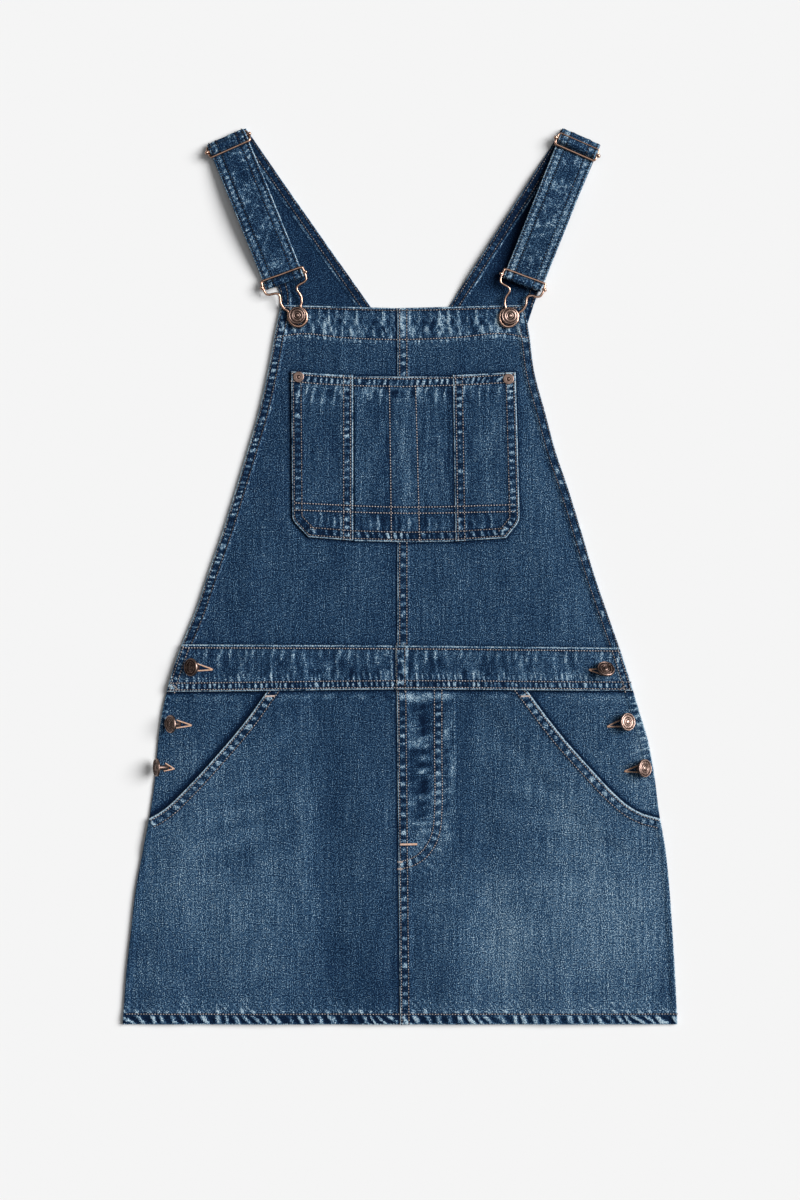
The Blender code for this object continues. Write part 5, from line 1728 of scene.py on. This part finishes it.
def make_side_buttons():
    for button in SIDE_BUTTONS:
        tilt, facing = math.radians(button.tilt), math.radians(button.facing)
        direction = (math.sin(tilt) * math.cos(facing), math.sin(tilt) * math.sin(facing), math.cos(tilt))

        def top(x, y):
            return plain_top(button_zone(button), x, y)

        under_head = highest(top, button.head_x, button.head_y, BUTTON_RADIUS)
        lift = under_head + LAYER_GAP + BUTTON_RADIUS * math.sin(tilt)
        head = set_down(button_head(BUTTON_RADIUS, 5.2), button.head_x, button.head_y, lift, button.facing,
                        button.tilt)
        foot_z = highest(top, button.shank_x, button.shank_y, SHANK_RADIUS) - 0.2
        foot = (button.shank_x, button.shank_y, foot_z)
        stem = shank(foot, (button.head_x, button.head_y, lift), direction)
        name = "side_button_{}_{}".format(button.side, button.number)
        finish_metal(join(head, stem), "aged_copper", name, button.grime)


def make_rivets():
    for side, (x, y) in RIVET.items():
        height = surface("pocket", np.array([x]), np.array([y]))[0][0]
        rivet = set_down(ringed_disc("rivet", RIVET_RADIUS, RIVET_THICKNESS, RIVET_RINGS), x, y, height - 0.1)
        finish_metal(rivet, "aged_copper", "rivet_" + side, RIVET_GRIME)


# ---------------------------------------------------------------- the set

def make_set():
    scene = bpy.context.scene
    scene.view_settings.view_transform = "Standard"
    camera = new_object("camera", bpy.data.cameras.new("camera"))
    camera.data.lens = LENS
    camera.data.sensor_width = SENSOR
    camera.location = CAMERA_PLACE
    scene.camera = camera

    bpy.ops.mesh.primitive_plane_add(size=FLOOR_SIZE, location=(0.0, 0.0, -0.0003))
    ground = bpy.context.view_layer.objects.active
    ground.name = "floor"
    ground.data.materials.append(floor_paint())
    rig.stage(ground)

    sun = new_object("sun", bpy.data.lights.new("sun", "SUN"))
    sun.data.energy = SUN_SHARE * math.pi / math.sin(math.radians(SUN_HEIGHT))
    sun.data.angle = math.radians(SUN_SPREAD)
    sun.rotation_euler = (math.radians(90.0 - SUN_HEIGHT), 0.0, math.radians(90.0 + SUN_BEARING))

    world = Nodes(bpy.data.worlds.new("studio"), "Background")
    place = world.add("TexCoord", "Generated")
    turn, height = math.radians(SUN_BEARING), math.radians(SCREEN_HEIGHT)
    toward = (math.cos(turn) * math.cos(height), math.sin(turn) * math.cos(height), math.sin(height))
    screen = world.add("VectorMath", "Value", operation="DOT_PRODUCT", i0=place, i1=toward)
    for operation, value in (("MAXIMUM", 0.0), ("POWER", 2.0), ("MULTIPLY", SCREEN_SHARE / SCREEN_ON_FLOOR),
                             ("ADD", FLOOR_LIGHT - SUN_SHARE - SCREEN_SHARE - LAMP_SHARE)):
        screen = world.add("Math", operation=operation, i0=screen, i1=value)
    lamp = world.add("SeparateXYZ", "Z", i0=place)
    for operation, value in (("MAXIMUM", 0.0), ("POWER", LAMP_FOCUS),
                             ("MULTIPLY", LAMP_SHARE * (LAMP_FOCUS + 2) / 2)):
        lamp = world.add("Math", operation=operation, i0=lamp, i1=value)
    strength = world.add("Math", operation="ADD", i0=screen, i1=lamp)
    scene.world = world.finish(Color=(1.0, 1.0, 1.0, 1.0), Strength=strength)


# Soft lights: a sun, a broad screen on the same side, a lamp above and a little from all round.
FLOOR_LIGHT = 1.014       # what falls on the floor in all, so that it is a light grey
SUN_SHARE = 0.83
SUN_HEIGHT = 42.0
SUN_BEARING = 17.0
SUN_SPREAD = 37.0
SCREEN_SHARE = 0.04
SCREEN_HEIGHT = 60.0
SCREEN_ON_FLOOR = 0.4353  # what a screen of brightness 1 at that height gives the floor
LAMP_SHARE = 0.12         # a lamp straight above, narrow, which the metal shows
LAMP_FOCUS = 12.0

# In metres; the lens and the sensor in millimetres.
FLOOR_SIZE = 60.0
CAMERA_PLACE = (0.0, -0.022, 2.611)
LENS = 85.0
SENSOR = 36.0


def main():
    make_skirt()
    make_waistband()
    make_bib()
    make_pocket()
    make_back()
    for side in SIDES:
        make_strap(side)
    make_stitches()
    make_tacks()
    make_sliders()
    make_buckles()
    make_bib_buttons()
    make_side_buttons()
    make_rivets()
    for piece, width, length, area, held in CUTS:
        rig.sheet(piece, flat=(width, length), held=held, rests_on=[], area=min(area, width * length))
    make_set()
    low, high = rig.bounds()
    with open("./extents.json", "w") as file:
        json.dump({"cad": [list(CAD_LOW), list(CAD_HIGH)], "shown": [list(low), list(high)]}, file)


main()
